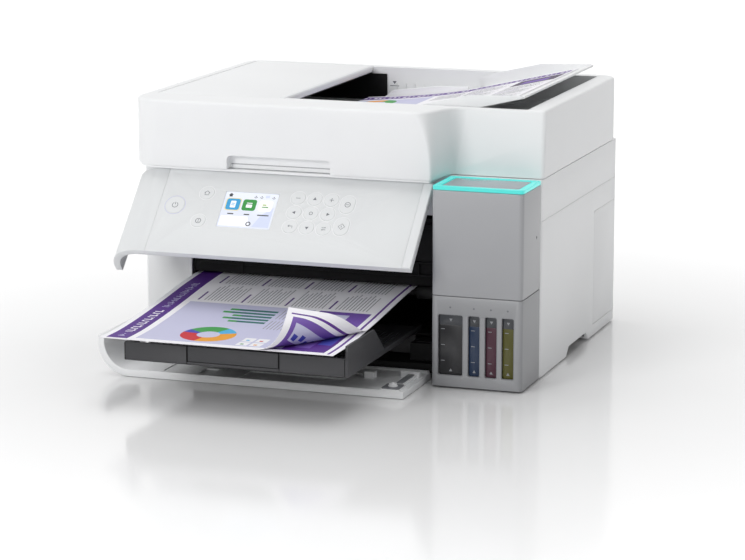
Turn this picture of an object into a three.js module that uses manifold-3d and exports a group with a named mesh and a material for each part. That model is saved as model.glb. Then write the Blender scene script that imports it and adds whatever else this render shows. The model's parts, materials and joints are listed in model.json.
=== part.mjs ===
// Inkjet multifunction printer with refillable ink tanks, a flatbed scanner and a document feeder.
// Millimetres, +Z up, front towards -Y. The sizes are laid out in a design frame whose X = 0 is the left
// side, Y = 0 the front face of the document lid and Z = 0 the table; the last lines of the file move the
// whole printer so that the origin is at the middle of its underside.
import * as THREE from 'three';
import { mergeVertices } from 'three/addons/utils/BufferGeometryUtils.js';
import Module from 'manifold-3d';

const wasm = await Module();
wasm.setup();

// ---------------------------------------------------------------- driving dimensions

const WIDTH = 375;            // overall width
const BODY_FRONT = 36;        // front plane of the base and the scanner
const BODY_BACK = 300;        // back plane of all three storeys
const REAR_COVER_BACK = 325;  // back of the duplex cover
const UNDERSIDE = 1.8;        // lowest face of the shells, carried by the feet
const SEAM_SCANNER = 141;     // seam between base and scanner
const SEAM_LID = 178;         // seam between scanner and lid
const TOP = 237;              // top of the lid
const WALL = 2.6;             // shell wall
const GAP = 0.3;              // clearance between neighbouring pieces

const BAY_LEFT = 45;          // paper bay, between the left column and the tank
const BAY_RIGHT = 292.2;
const TANK_LEFT = 292.5;
const TANK_RIGHT = 374.2;
const TANK_FRONT = -20;
const TANK_BACK = 35.4;
const TANK_SEAM = 81.7;       // seam between tank case and tank cover
const TANK_TOP = 174;
const TANK_WALL = 3;
const RING_WIDTH = 5.6;       // width of the lit ring round the top of the tank

const CORNER = 30;            // front left corner radius of lid, panel and cover
const SKIN = 6;               // thickness of the panel and of the front cover

const PANEL_AXIS = { y: 10, z: 161.7 };   // control panel hinge
const PANEL_TILT = 44.3;                  // degrees from upright
const PANEL_RIGHT = 284.5;
const PANEL_TOP = 8.2;                    // above the hinge axis when upright
const PANEL_BOTTOM = -81.2;               // below the hinge axis when upright

const COVER_AXIS = { y: 4, z: 4.5 };      // front cover hinge
const COVER_HEIGHT = 76;                  // from its hinge axis to its free edge
const COVER_RIGHT = 284.5;

const TRAY = { left: 58.5, right: 261, front: -145, back: 50, bottom: 34, rim: 50, guard: 61 };
const TRAY_SPLIT = [116.3, 199];          // the middle part of the tray front is the extension
const CASSETTE = { left: 58, right: 258, front: 42, back: 278, bottom: 13.6, top: 30.9 };

const PAGE = { width: 210, left: 47.4, thick: 0.5 };

const RECESS = { left: 133.5, right: 358, front: 48, back: 285 };   // document feeder recess
const RAMP_SLOPE = 13;                    // degrees, document ramp
const RAMP_AT_LEFT = 197;                 // height of the ramp face at the left end of the recess
const FLAP_AXIS = { x: 246, z: 228.9 };   // document flap hinge
const FLAP_RIGHT = 354;

const KEY_RADIUS = 6.4;
const KEY_TRAVEL_ROOM = 4;

// ---------------------------------------------------------------- finishes

const finish = (colour, roughness, metalness = 0) =>
  new THREE.MeshStandardMaterial({ color: colour, roughness, metalness });

const white = finish(0xeeefef, 0.45);
const softWhite = finish(0xe6e7e8, 0.55);
const tankGrey = finish(0xa8aaad, 0.4);
const black = finish(0x161617, 0.5);
const trayGrey = finish(0x3c3c3e, 0.55);
const rubber = finish(0x202020, 0.9);
const steel = finish(0xb9bcc0, 0.25, 1);
const glass = finish(0xbfd4d6, 0.05);
const paper = finish(0xf6f5f8, 0.8);
const glow = finish(0x5ff6ee, 0.3);
const screen = finish(0x9fd4f5, 0.15);
const inks = {
  black: finish(0x434343, 0.2),
  cyan: finish(0x3a4556, 0.2),
  magenta: finish(0x4a3a40, 0.2),
  yellow: finish(0x4b4b2c, 0.2),
};

// ---------------------------------------------------------------- geometry helpers

// A closed three.js geometry as a manifold solid.
function solid(geometry) {
  const bare = geometry.clone();
  bare.deleteAttribute('normal');
  bare.deleteAttribute('uv');
  const merged = mergeVertices(bare, 1e-4);
  const vertProperties = merged.attributes.position.array;
  const triVerts = new Uint32Array(merged.index.array);
  return new wasm.Manifold(new wasm.Mesh({ numProp: 3, vertProperties, triVerts }));
}

// A manifold solid as a three.js geometry.
function geometryOf(body) {
  const mesh = body.getMesh();
  const geometry = new THREE.BufferGeometry();
  geometry.setAttribute('position', new THREE.BufferAttribute(mesh.vertProperties, 3));
  geometry.setIndex(new THREE.BufferAttribute(mesh.triVerts, 1));
  const faceted = geometry.toNonIndexed();
  faceted.computeVertexNormals();
  return faceted;
}

// Joins the geometries in `adds`, then takes away those in `cuts`.
function build(adds, cuts = []) {
  let body = adds.map(solid).reduce((sum, next) => sum.add(next));
  for (const cut of cuts) body = body.subtract(solid(cut));
  return geometryOf(body);
}

function block([x0, x1], [y0, y1], [z0, z1]) {
  return new THREE.BoxGeometry(x1 - x0, y1 - y0, z1 - z0)
    .translate((x0 + x1) / 2, (y0 + y1) / 2, (z0 + z1) / 2);
}

function polygon(points) {
  return new THREE.Shape(points.map(([u, v]) => new THREE.Vector2(u, v)));
}

// Rectangle with corner radii given as [low u low v, high u low v, high u high v, low u high v].
function roundedRectangle([u0, u1], [v0, v1], radii) {
  const [a, b, c, d] = Array.isArray(radii) ? radii : [radii, radii, radii, radii];
  const shape = new THREE.Shape();
  shape.moveTo(u0 + a, v0);
  shape.lineTo(u1 - b, v0);
  shape.absarc(u1 - b, v0 + b, b, -Math.PI / 2, 0);
  shape.lineTo(u1, v1 - c);
  shape.absarc(u1 - c, v1 - c, c, 0, Math.PI / 2);
  shape.lineTo(u0 + d, v1);
  shape.absarc(u0 + d, v1 - d, d, Math.PI / 2, Math.PI);
  shape.lineTo(u0, v0 + a);
  shape.absarc(u0 + a, v0 + a, a, Math.PI, 1.5 * Math.PI);
  return shape;
}

function extrude(shape, depth, steps) {
  return new THREE.ExtrudeGeometry(shape, { depth, bevelEnabled: false, curveSegments: steps });
}

// Shape in X and Y, extruded along Z.
function alongZ(shape, z0, z1, steps = 6) {
  return extrude(shape, z1 - z0, steps).translate(0, 0, z0);
}

// Shape in Y and Z, extruded along X.
function alongX(shape, x0, x1, steps = 6) {
  const turn = new THREE.Matrix4().makeBasis(
    new THREE.Vector3(0, 1, 0), new THREE.Vector3(0, 0, 1), new THREE.Vector3(1, 0, 0));
  return extrude(shape, x1 - x0, steps).applyMatrix4(turn).translate(x0, 0, 0);
}

// Shape in X and Z, extruded along Y.
function alongY(shape, y0, y1, steps = 6) {
  return extrude(shape, y1 - y0, steps).rotateX(Math.PI / 2).translate(0, y1, 0);
}

function rodX(radius, x0, x1, y, z, sides = 24) {
  return new THREE.CylinderGeometry(radius, radius, x1 - x0, sides)
    .rotateZ(Math.PI / 2).translate((x0 + x1) / 2, y, z);
}

function rodY(radius, y0, y1, x, z, sides = 24) {
  return new THREE.CylinderGeometry(radius, radius, y1 - y0, sides)
    .translate(x, (y0 + y1) / 2, z);
}

function rodZ(radius, z0, z1, x, y, sides = 24) {
  return new THREE.CylinderGeometry(radius, radius, z1 - z0, sides)
    .rotateX(Math.PI / 2).translate(x, y, (z0 + z1) / 2);
}

function part(name, geometry, material, parent) {
  const mesh = new THREE.Mesh(geometry, material);
  mesh.name = name;
  parent.add(mesh);
  return mesh;
}

const radians = THREE.MathUtils.degToRad;
const slope = Math.tan(radians(RAMP_SLOPE));
const rampHeight = (x) => RAMP_AT_LEFT + (x - RECESS.left) * slope;

const printer = new THREE.Group();

// ---------------------------------------------------------------- base

function makeBase() {
  const outline = roundedRectangle([0, WIDTH - 0.3], [BODY_FRONT, BODY_BACK], [3, 3, 8, 20]);
  const shellTop = SEAM_SCANNER - GAP;
  const inside = roundedRectangle(
    [WALL, WIDTH - GAP - 3.2], [BODY_FRONT + WALL, BODY_BACK - WALL], [1, 1, 8 - WALL, 20 - WALL]);
  const carryNotch = polygon([[122, 0], [203, 0], [193, 9.7], [132, 9.7]]);
  const housing = build(
    [alongZ(outline, UNDERSIDE, shellTop, 8)],
    [
      alongZ(inside, UNDERSIDE + WALL, shellTop + 5, 8),
      block([BAY_LEFT, BAY_RIGHT], [BODY_FRONT - 5, BODY_FRONT + 6], [4.6, shellTop + 5]),
      block([68, 282], [BODY_BACK - 6, BODY_BACK + 5], [16, 120]),
      block([321.6, 346.4], [BODY_BACK - 6, BODY_BACK + 5], [29.6, 46.4]),
      alongX(carryNotch, WIDTH - 14, WIDTH + 5),
      block([WIDTH - 2.1, WIDTH + 5], [217, 291], [12, 120]),
    ],
  );
  part('base_housing', housing, white, printer);

  const sideCover = roundedRectangle([217 + GAP, 291 - GAP], [12 + GAP, 120 - GAP], 3);
  part('side_access_cover', alongX(sideCover, WIDTH - 1.8, WIDTH - 0.2), white, printer);

  const feet = { front_left: [24, 60], front_right: [340, 62], back_left: [24, 274], back_right: [350, 274] };
  for (const [place, [x, y]] of Object.entries(feet)) {
    part('foot_' + place, rodZ(8, 0, UNDERSIDE - GAP, x, y, 20), rubber, printer);
  }
}

// The black inner frame: an open-fronted bay for the cassette and the output tray, with the exit
// fascia across it. The front cover swings on its sill.
function makeMechanism() {
  const left = BAY_LEFT + GAP;
  const right = BAY_RIGHT - GAP;
  const sides = [left, left + 1.6];
  const rightSide = [right - 2, right];
  const frameTop = SEAM_SCANNER - 4;
  const frame = build([
    block([left, right], [9.2, 285], [10.8, 13.1]),
    block([left, right], [9.2, 12], [5, 11]),
    block(sides, [BODY_FRONT + 3, 285], [10.8, frameTop]),
    block(rightSide, [BODY_FRONT + 3, 285], [10.8, frameTop]),
    block([left, right], [BODY_FRONT + 4, BODY_FRONT + 7], [76, frameTop]),
    block([left, right], [282.5, 285], [10.8, frameTop]),
    block([left, TRAY.left + 4], [BODY_FRONT + 3, 215], [31.3, TRAY.bottom - GAP]),
    block([TRAY.right - 4, right], [BODY_FRONT + 3, 215], [31.3, TRAY.bottom - GAP]),
  ]);
  part('mechanism_frame', frame, black, printer);

  const innerLeft = left + 1.6 + GAP;
  const innerRight = right - 2 - GAP;
  const platenRibs = [];
  for (let i = 0; i < 11; i++) {
    const x = innerLeft + 14 + i * 21;
    platenRibs.push(block([x, x + 2], [62, 138], [70.5, 73.4]));
  }
  const platen = build([block([innerLeft, innerRight], [60, 140], [67, 71]), ...platenRibs]);
  part('platen', platen, black, printer);

  part('carriage_rail', block([innerLeft, innerRight], [152, 155], [96, 120]), steel, printer);

  const carriageSide = polygon([
    [78, 77.6], [136, 77.6], [136, 100], [150, 100], [150, 123], [157, 123], [157, 108],
    [159.5, 108], [159.5, 126], [92, 126], [78, 112],
  ]);
  part('print_carriage', alongX(carriageSide, 222, 284), black, printer);

  const rollerShaft = (y, z, radius) => {
    const wheels = [];
    for (let i = 0; i < 5; i++) {
      const x = innerLeft + 18 + i * 48;
      wheels.push(rodX(radius, x, x + 24, y, z, 20));
    }
    return build([rodX(3, innerLeft + GAP, innerRight - GAP, y, z, 12), ...wheels]);
  };
  part('exit_roller', rollerShaft(51, 67.9, 5.6), rubber, printer);
  part('feed_roller', rollerShaft(148, 67.4, 6.5), rubber, printer);

  part('power_supply', block([300, 362], [190, 285], [6, 58]), black, printer);
  const inlet = build(
    [block([322, 346], [BODY_BACK - 14, BODY_BACK - 0.4], [30, 46])],
    [alongY(roundedRectangle([326, 342], [34, 42], 4), BODY_BACK - 11, BODY_BACK + 1)],
  );
  const inletPins = [331, 337].map((x) => rodY(1.1, BODY_BACK - 12, BODY_BACK - 4, x, 38, 10));
  part('power_inlet', build([inlet, ...inletPins]), black, printer);
}

// The duplex cover closes the opening in the back wall and pulls straight off.
function makeRearCover() {
  const outer = roundedRectangle([68 + GAP, 282 - GAP], [16 + GAP, 120 - GAP], 6);
  const inner = roundedRectangle([72, 278], [20, 116], 4);
  const cover = build(
    [alongY(outer, 288, REAR_COVER_BACK)],
    [alongY(inner, 280, REAR_COVER_BACK - 3)],
  );
  part('rear_cover', cover, softWhite, printer);
}

// ---------------------------------------------------------------- paper path

function makeOutput() {
  const { left, right, front, back, bottom, rim, guard } = TRAY;
  const [splitLeft, splitRight] = TRAY_SPLIT;
  const floorTop = bottom + 2.6;
  const guardSide = polygon([
    [front, bottom], [back, bottom], [back, floorTop + 2], [-52, floorTop + 2], [-78, guard], [front, guard],
  ]);
  const lowSide = polygon([
    [front, bottom], [back, bottom], [back, floorTop + 2], [-110, floorTop + 2], [-125, rim], [front, rim],
  ]);
  const tray = build([
    block([left, right], [front, back], [bottom, floorTop]),
    alongX(lowSide, left, left + 2.6),
    alongX(guardSide, right - 2.6, right),
    block([left, splitLeft - GAP], [front, front + 3], [bottom, rim]),
    block([splitRight + GAP, right], [front, front + 3], [bottom, rim]),
    block([splitLeft - 3, splitLeft - GAP], [front, -15], [bottom, floorTop + 2.8]),
    block([splitRight + GAP, splitRight + 3], [front, -15], [bottom, floorTop + 2.8]),
  ]);
  part('output_tray', tray, trayGrey, printer);

  const extension = build([
    block([splitLeft + GAP, splitRight - GAP], [front, front + 3], [floorTop + GAP, rim]),
    block([splitLeft + GAP, splitRight - GAP], [front, -40], [floorTop + GAP, floorTop + 2.8]),
  ]);
  part('tray_extension', extension, trayGrey, printer);

  const c = CASSETTE;
  const cassette = build(
    [block([c.left, c.right], [c.front, c.back], [c.bottom, c.top])],
    [
      block([c.left + 2.5, c.right - 2.5], [c.front + 3, c.back - 3], [c.bottom + 2.4, c.top + 5]),
      alongY(roundedRectangle([130, 186], [25, 40], 4), c.front - 5, c.front + 6),
    ],
  );
  part('paper_cassette', cassette, trayGrey, printer);

  // The printed page leaves the exit slot level, sags towards the tray and lifts a little at its end.
  const path = [[124, 74.1], [46, 74.1], [0, 70.5], [-50, 65], [-100, 60.5], [-140, 58], [-172, 58.2]];
  const over = path.map(([y, z]) => [y, z + PAGE.thick]).reverse();
  const page = alongX(polygon([...path, ...over].reverse()), PAGE.left, PAGE.left + PAGE.width);
  part('printed_page', page, paper, printer);
}

// The front cover, shown open: it lies on its outer face, and its left end, which wraps the corner of
// the printer when closed, stands up.
function makeFrontCover() {
  const { y, z } = COVER_AXIS;
  const face = z - y;
  const lip = BODY_FRONT - 0.8;
  const section = new THREE.Shape();
  section.moveTo(COVER_RIGHT, face);
  section.lineTo(COVER_RIGHT, face + SKIN);
  section.lineTo(CORNER, face + SKIN);
  section.absarc(CORNER, face + CORNER, CORNER - SKIN, 1.5 * Math.PI, Math.PI, true);
  section.lineTo(SKIN, face + lip);
  section.lineTo(0, face + lip);
  section.lineTo(0, face + CORNER);
  section.absarc(CORNER, face + CORNER, CORNER, Math.PI, 1.5 * Math.PI);
  section.lineTo(COVER_RIGHT, face);
  const freeEdge = y - COVER_HEIGHT;
  const top = face + SKIN;
  const cover = build(
    [
      alongY(section, freeEdge, y, 8),
      rodX(4, CORNER + 16, COVER_RIGHT - 2, y, z, 16),
      block([236, 245], [-34, -26], [top - 1, top + 6]),
      block([263, 281], [-72, -52], [top - 1, top + 1.6]),
      block([270, 279], [-54, -14], [top - 1, top + 2.4]),
      block([264, 281], [-18, -11], [top - 1, top + 5]),
      rodZ(4.2, top, top + 3.4, 272, -62, 16),
    ],
    [
      block([92, 104], [-64, -44], [top - 1.5, top + 1]),
      block([132, 222], [-66, -40], [top - 1.2, top + 1]),
    ],
  );
  part('front_cover', cover, white, printer);
}

// ---------------------------------------------------------------- ink tank unit

const INK_BAYS = {
  black: { x: [298.7, 320.9], cap: 7.5 },
  cyan: { x: [325.9, 336.2], cap: 5 },
  magenta: { x: [341.1, 351.6], cap: 5 },
  yellow: { x: [356.2, 366.8], cap: 5 },
};

function makeTank() {
  const outline = roundedRectangle([TANK_LEFT, TANK_RIGHT], [TANK_FRONT, TANK_BACK], [4, 4, 1, 1]);
  const hollowX = [TANK_LEFT + TANK_WALL, TANK_RIGHT - TANK_WALL];
  const windows = Object.values(INK_BAYS).map(({ x }) =>
    alongY(roundedRectangle(x, [11.8, 65.3], 1.5), TANK_FRONT - 5, TANK_FRONT + 6, 3));
  const tankCase = build(
    [alongZ(outline, UNDERSIDE, TANK_SEAM - GAP)],
    [
      block(hollowX, [TANK_FRONT + TANK_WALL, TANK_BACK - TANK_WALL], [UNDERSIDE + TANK_WALL, TANK_SEAM + 5]),
      ...windows,
    ],
  );
  part('tank_case', tankCase, tankGrey, printer);

  for (const [ink, { x, cap }] of Object.entries(INK_BAYS)) {
    const middle = (x[0] + x[1]) / 2;
    const half = (x[1] - x[0]) / 2 + 1.6;
    const reservoir = build([
      block([middle - half, middle + half], [TANK_FRONT + 3.3, TANK_BACK - 4], [5.2, 70]),
      rodZ(cap - 1, 69, 74, middle, 8, 20),
    ]);
    part('ink_reservoir_' + ink, reservoir, inks[ink], printer);
    part('tank_cap_' + ink, rodZ(cap, 74 + GAP, 86, middle, 8, 20), inks[ink], printer);
  }

  // The cover is open at the back, so that it clears the caps as it swings up.
  const panelTop = roundedRectangle([TANK_LEFT + 6, TANK_RIGHT - 6], [TANK_FRONT + 6, TANK_BACK - 6], 3);
  const tankCover = build(
    [alongZ(outline, TANK_SEAM, TANK_TOP), alongZ(panelTop, TANK_TOP - 1, TANK_TOP + 2.4)],
    [block(hollowX, [TANK_FRONT + TANK_WALL, TANK_BACK + 5], [TANK_SEAM - 5, TANK_TOP - TANK_WALL])],
  );
  part('tank_cover', tankCover, tankGrey, printer);

  const ringOuter = roundedRectangle([TANK_LEFT, TANK_RIGHT], [TANK_FRONT, TANK_BACK], [4, 4, 2, 2]);
  const ringInner = roundedRectangle(
    [TANK_LEFT + RING_WIDTH, TANK_RIGHT - RING_WIDTH], [TANK_FRONT + RING_WIDTH, TANK_BACK - RING_WIDTH], 3);
  const ring = build(
    [alongZ(ringOuter, TANK_TOP + GAP, SEAM_LID - 0.6)],
    [alongZ(ringInner, TANK_TOP - 5, SEAM_LID + 5)],
  );
  part('tank_light_ring', ring, glow, printer);
}

// ---------------------------------------------------------------- scanner

function makeScanner() {
  const top = SEAM_LID - 0.6;
  const outline = roundedRectangle([0, WIDTH - 0.3], [BODY_FRONT, BODY_BACK], [3, 3, 8, 20]);
  const lip = roundedRectangle([2, PANEL_RIGHT - 1], [4, BODY_FRONT + 10], [26, 2, 0.1, 0.1]);
  const armX = [70, 232];
  const armSide = new THREE.Shape();
  armSide.moveTo(BODY_FRONT + 5, PANEL_AXIS.z - 6);
  armSide.lineTo(BODY_FRONT + 5, PANEL_AXIS.z + 3.5);
  armSide.lineTo(PANEL_AXIS.y, PANEL_AXIS.z + 3.5);
  armSide.absarc(PANEL_AXIS.y, PANEL_AXIS.z, 3.5, Math.PI / 2, 1.5 * Math.PI);
  armSide.lineTo(BODY_FRONT - 4, PANEL_AXIS.z - 3.5);
  const glassOpening = [[47, 345], [57, 275]];
  const housing = build(
    [
      alongZ(outline, SEAM_SCANNER, top, 8),
      alongZ(lip, top - 2.2, top, 8),
      ...armX.map((x) => alongX(armSide, x, x + 12, 8)),
    ],
    [
      block([10, WIDTH - 10], [44, 292], [SEAM_SCANNER + 4, top - 4.5]),
      block(...glassOpening, [top - 10, top + 5]),
      block([44, 348], [54, 278], [top - 2.8, top + 5]),
      block([22, 38], [57, 275], [top - 10, top + 5]),
    ],
  );
  part('scanner_housing', housing, white, printer);

  const pane = block([44 + GAP, 348 - GAP], [54 + GAP, 278 - GAP], [top - 2.5, top - 0.1]);
  part('scanner_glass', pane, glass, printer);

  const bar = build([
    block([18, 42], [60, 272], [SEAM_SCANNER + 10, top - 7]),
    block([26, 34], [62, 270], [top - 8, top - 5.5]),
  ]);
  part('scan_bar', bar, black, printer);
}

// ---------------------------------------------------------------- control panel

// A key's place is x and s, the distance down the face from the edge of the lid above it; rx and rz are
// its half width and half height.
const PANEL_FOOT = 10.3;      // s at the height of the hinge axis
const gridColumns = [165.9, 181.5, 197.1];
const gridRows = [26.2, 41.4, 56.6];
const gridNames = [
  ['key_minus', 'key_up', 'key_plus'],
  ['key_left', 'key_ok', 'key_right'],
  ['key_back', 'key_down', 'key_swap'],
];

function panelKeys() {
  const keys = [
    { name: 'key_power', x: 53, s: 41.1, rx: 8.6, rz: 8.6 },
    { name: 'key_home', x: 79.8, s: 26.5, rx: KEY_RADIUS, rz: KEY_RADIUS },
    { name: 'key_help', x: 79.4, s: 56.3, rx: KEY_RADIUS, rz: KEY_RADIUS },
    { name: 'key_stop', x: 212.8, s: 30.1, rx: KEY_RADIUS, rz: 9 },
    { name: 'key_start', x: 212.8, s: 53.2, rx: KEY_RADIUS, rz: 9 },
  ];
  gridNames.forEach((row, r) => row.forEach((name, c) => {
    keys.push({ name, x: gridColumns[c], s: gridRows[r], rx: KEY_RADIUS, rz: KEY_RADIUS });
  }));
  return keys;
}

function keyOutline({ x, s, rx, rz }, grow) {
  const z = PANEL_FOOT - s;
  return roundedRectangle([x - rx - grow, x + rx + grow], [z - rz - grow, z + rz + grow], rx + grow - 0.02);
}

function makePanel() {
  const panel = new THREE.Group();
  panel.position.set(0, PANEL_AXIS.y, PANEL_AXIS.z);
  panel.rotation.x = -radians(PANEL_TILT);
  printer.add(panel);

  const face = -PANEL_AXIS.y;
  const wrapEnd = BODY_FRONT - 1.5 - PANEL_AXIS.y;
  const plan = new THREE.Shape();
  plan.moveTo(CORNER, face);
  plan.lineTo(PANEL_RIGHT, face);
  plan.lineTo(PANEL_RIGHT, face + SKIN);
  plan.lineTo(CORNER, face + SKIN);
  plan.absarc(CORNER, face + CORNER, CORNER - SKIN, 1.5 * Math.PI, Math.PI, true);
  plan.lineTo(SKIN, wrapEnd);
  plan.lineTo(0, wrapEnd);
  plan.lineTo(0, face + CORNER);
  plan.absarc(CORNER, face + CORNER, CORNER, Math.PI, 1.5 * Math.PI);

  const keys = panelKeys();
  const displayX = [97.2, 147.5];
  const displayZ = [PANEL_FOOT - 61, PANEL_FOOT - 23];
  const pockets = keys.map((key) => alongY(keyOutline(key, 0.35), face - 5, face + KEY_TRAVEL_ROOM, 4));
  const lugs = [66.5, 228.5].map((x) => block([x, x + 3], [face + SKIN - 1, 3], [-4, 4]));
  const shell = build(
    [alongZ(plan, PANEL_BOTTOM, PANEL_TOP, 8), ...lugs],
    [...pockets, block(displayX, [face - 5, face + 2.6], displayZ)],
  );
  part('control_panel', shell, white, panel);

  const display = block(
    [displayX[0] + GAP, displayX[1] - GAP], [face + 0.2, face + 2.3], [displayZ[0] + GAP, displayZ[1] - GAP]);
  part('display', display, screen, panel);

  for (const key of keys) {
    part(key.name, alongY(keyOutline(key, 0), face - 0.3, face + 2.6, 4), softWhite, panel);
  }
}

// ---------------------------------------------------------------- document lid and feeder

const arc = (cx, cy, r, from, to, steps) => {
  const points = [];
  for (let i = 0; i <= steps; i++) {
    const a = radians(from + ((to - from) * i) / steps);
    points.push([cx + r * Math.cos(a), cy + r * Math.sin(a)]);
  }
  return points;
};

// Plan outline of the lid at a height: a full front with a round left corner, which sweeps back on the
// right in an S-curve to the set-back front above the ink tank.
function lidOutline(z) {
  const t = Math.min(1, Math.max(0, (z - SEAM_LID) / (TOP - SEAM_LID)));
  const bulgeEnd = 283 - 15.3 * t ** 2.7;
  const setBack = 39.5 + 6.5 * t;
  const sweep = new THREE.CubicBezierCurve(
    new THREE.Vector2(bulgeEnd, 0),
    new THREE.Vector2(291 - t, 0),
    new THREE.Vector2(286 - 6 * t, setBack),
    new THREE.Vector2(295 + 10 * t, setBack),
  );
  return [
    ...arc(CORNER, CORNER, CORNER, 180, 270, 8),
    ...sweep.getPoints(12).map((p) => [p.x, p.y]),
    ...arc(WIDTH - 4, setBack + 4, 4, -90, 0, 3),
    ...arc(WIDTH - 20, BODY_BACK - 20, 20, 0, 90, 6),
    ...arc(20, BODY_BACK - 20, 20, 90, 180, 6),
  ];
}

// Moves each point of a closed outline inwards.
function inset(points, distance) {
  return points.map(([x, y], i) => {
    const [px, py] = points[(i + points.length - 1) % points.length];
    const [nx, ny] = points[(i + 1) % points.length];
    const length = Math.hypot(nx - px, ny - py);
    return [x - (distance * (ny - py)) / length, y + (distance * (nx - px)) / length];
  });
}

// A closed solid through a stack of outlines that have the same number of points.
function loft(levels) {
  const count = levels[0].points.length;
  const position = levels.flatMap(({ z, points }) => points.flatMap(([x, y]) => [x, y, z]));
  const index = [];
  for (let k = 0; k + 1 < levels.length; k++) {
    for (let i = 0; i < count; i++) {
      const a = k * count + i;
      const b = k * count + ((i + 1) % count);
      index.push(a, b, b + count, a, b + count, a + count);
    }
  }
  const cap = (k) => THREE.ShapeUtils.triangulateShape(
    levels[k].points.map(([x, y]) => new THREE.Vector2(x, y)), []);
  for (const [a, b, c] of cap(0)) index.push(a, c, b);
  const last = (levels.length - 1) * count;
  for (const [a, b, c] of cap(levels.length - 1)) index.push(last + a, last + b, last + c);
  const geometry = new THREE.BufferGeometry();
  geometry.setAttribute('position', new THREE.Float32BufferAttribute(position, 3));
  geometry.setIndex(index);
  return geometry;
}

function makeLid() {
  const heights = [SEAM_LID, 193, 208, 220, 229, TOP - 2.5];
  const levels = heights.map((z) => ({ z, points: lidOutline(z) }));
  levels.push({ z: TOP, points: inset(lidOutline(TOP), 2.5) });
  const { left, right, front, back } = RECESS;
  const outfeed = polygon([[left - 1, 183], [right, 222], [right, TOP + 5], [left - 1, TOP + 5]]);
  const underFloor = polygon([[150, 170], [right, 170], [right, 218], [150, 182]]);
  const lid = build(
    [loft(levels)],
    [
      alongY(outfeed, front, back),
      block([14, left], [front, back], [183, TOP + 5]),
      block([10, left], [front - 4, back + 4], [231.3, TOP + 5]),
      alongY(underFloor, front + 4, back - 4),
      block([12, 270], [10, front - 4], [170, 231]),
      alongY(roundedRectangle([95, 192.5], [170, 190.3], 4), -5, 9),
      block([14, 361], [40, 292], [170, 180.3]),
    ],
  );
  part('document_lid', lid, white, printer);

  const pad = block([14.5, 360.5], [40.5, 291.5], [SEAM_LID, 180]);
  part('lid_pad', pad, softWhite, printer);

  const coverPlate = block([10.3, left - GAP], [front - 3.7, back + 3.7], [231.6, TOP]);
  const coverRibs = [90, 170, 250].map((y) => block([20, 70], [y, y + 2], [228, 232]));
  part('feed_cover', build([coverPlate, ...coverRibs]), white, printer);

  const drumWheels = [70, 120, 170, 220].map((y) => rodY(16, y, y + 26, 48, 204, 24));
  part('feed_drum', build([rodY(4, front + 1, back - 1, 48, 204, 12), ...drumWheels]), rubber, printer);
  const pickup = build([rodY(3, 110, 215, 112, 207, 12), rodY(9, 145, 180, 112, 207, 24)]);
  part('pickup_roller', pickup, rubber, printer);

  const rampSkin = 3;
  const rampEnd = FLAP_AXIS.x - 1.5;
  const ramp = polygon([
    [left + 0.5, rampHeight(left + 0.5) - rampSkin], [rampEnd, rampHeight(rampEnd) - rampSkin],
    [rampEnd, rampHeight(rampEnd)], [left + 0.5, rampHeight(left + 0.5)],
  ]);
  part('document_ramp', alongY(ramp, front + GAP, back - GAP), softWhite, printer);

  // The edge guides stand on the ramp and close on the sheet from both sides.
  const guideFoot = (x) => rampHeight(x) + GAP;
  const fence = polygon([
    [150, guideFoot(150)], [236, guideFoot(236)], [236, guideFoot(236) + 3], [205, guideFoot(205) + 9.5],
    [160, guideFoot(160) + 14], [150, guideFoot(150) + 8],
  ]);
  const pageFront = 55;
  const pageBack = pageFront + PAGE.width;
  part('edge_guide_front', alongY(fence, pageFront - 3.6, pageFront - 0.6), white, printer);
  part('edge_guide_back', alongY(fence, pageBack + 0.6, pageBack + 3.6), white, printer);

  makeFlap(pageFront, pageBack);
}

// The document flap, shown open: it carries the outer half of the sheet and folds over the ramp.
function makeFlap(pageFront, pageBack) {
  const { front, back } = RECESS;
  const start = FLAP_AXIS.x + 1.5;
  const plateSkin = 3;
  const plate = polygon([
    [start, rampHeight(start) - plateSkin], [FLAP_RIGHT, rampHeight(FLAP_RIGHT) - plateSkin + 1.2],
    [FLAP_RIGHT, rampHeight(FLAP_RIGHT)], [start, rampHeight(start)],
  ]);
  const cheek = new THREE.Shape();
  cheek.moveTo(start, rampHeight(start) - plateSkin);
  cheek.lineTo(FLAP_RIGHT - 2, rampHeight(FLAP_RIGHT - 2) - 1);
  cheek.lineTo(FLAP_RIGHT - 2, rampHeight(FLAP_RIGHT) + 0.6);
  cheek.lineTo(303, 246.8);
  cheek.lineTo(262, 237.4);
  cheek.lineTo(FLAP_AXIS.x, FLAP_AXIS.z + 3.5);
  cheek.absarc(FLAP_AXIS.x, FLAP_AXIS.z, 3.5, Math.PI / 2, 1.25 * Math.PI);
  const flap = build([
    alongY(plate, front + 2.5, back - 1.5),
    alongY(cheek, back - 4.5, back - 1.5, 6),
    alongY(cheek, front + 0.6, front + 2.6, 6),
  ]);
  part('document_flap', flap, white, printer);

  const pageEnd = 345;
  const lift = 0.3;
  const sheet = polygon([
    [start, rampHeight(start) + lift], [pageEnd, rampHeight(pageEnd) + lift],
    [pageEnd, rampHeight(pageEnd) + lift + PAGE.thick], [start, rampHeight(start) + lift + PAGE.thick],
  ]);
  part('document_page', alongY(sheet, pageFront, pageBack), paper, printer);
}

// ---------------------------------------------------------------- assembly

makeBase();
makeMechanism();
makeRearCover();
makeOutput();
makeFrontCover();
makeTank();
makeScanner();
makePanel();
makeLid();

const pageTip = -172;
printer.position.set(-WIDTH / 2, -(pageTip + REAR_COVER_BACK) / 2, 0);

const model = new THREE.Group();
model.add(printer);

export default model;
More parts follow.
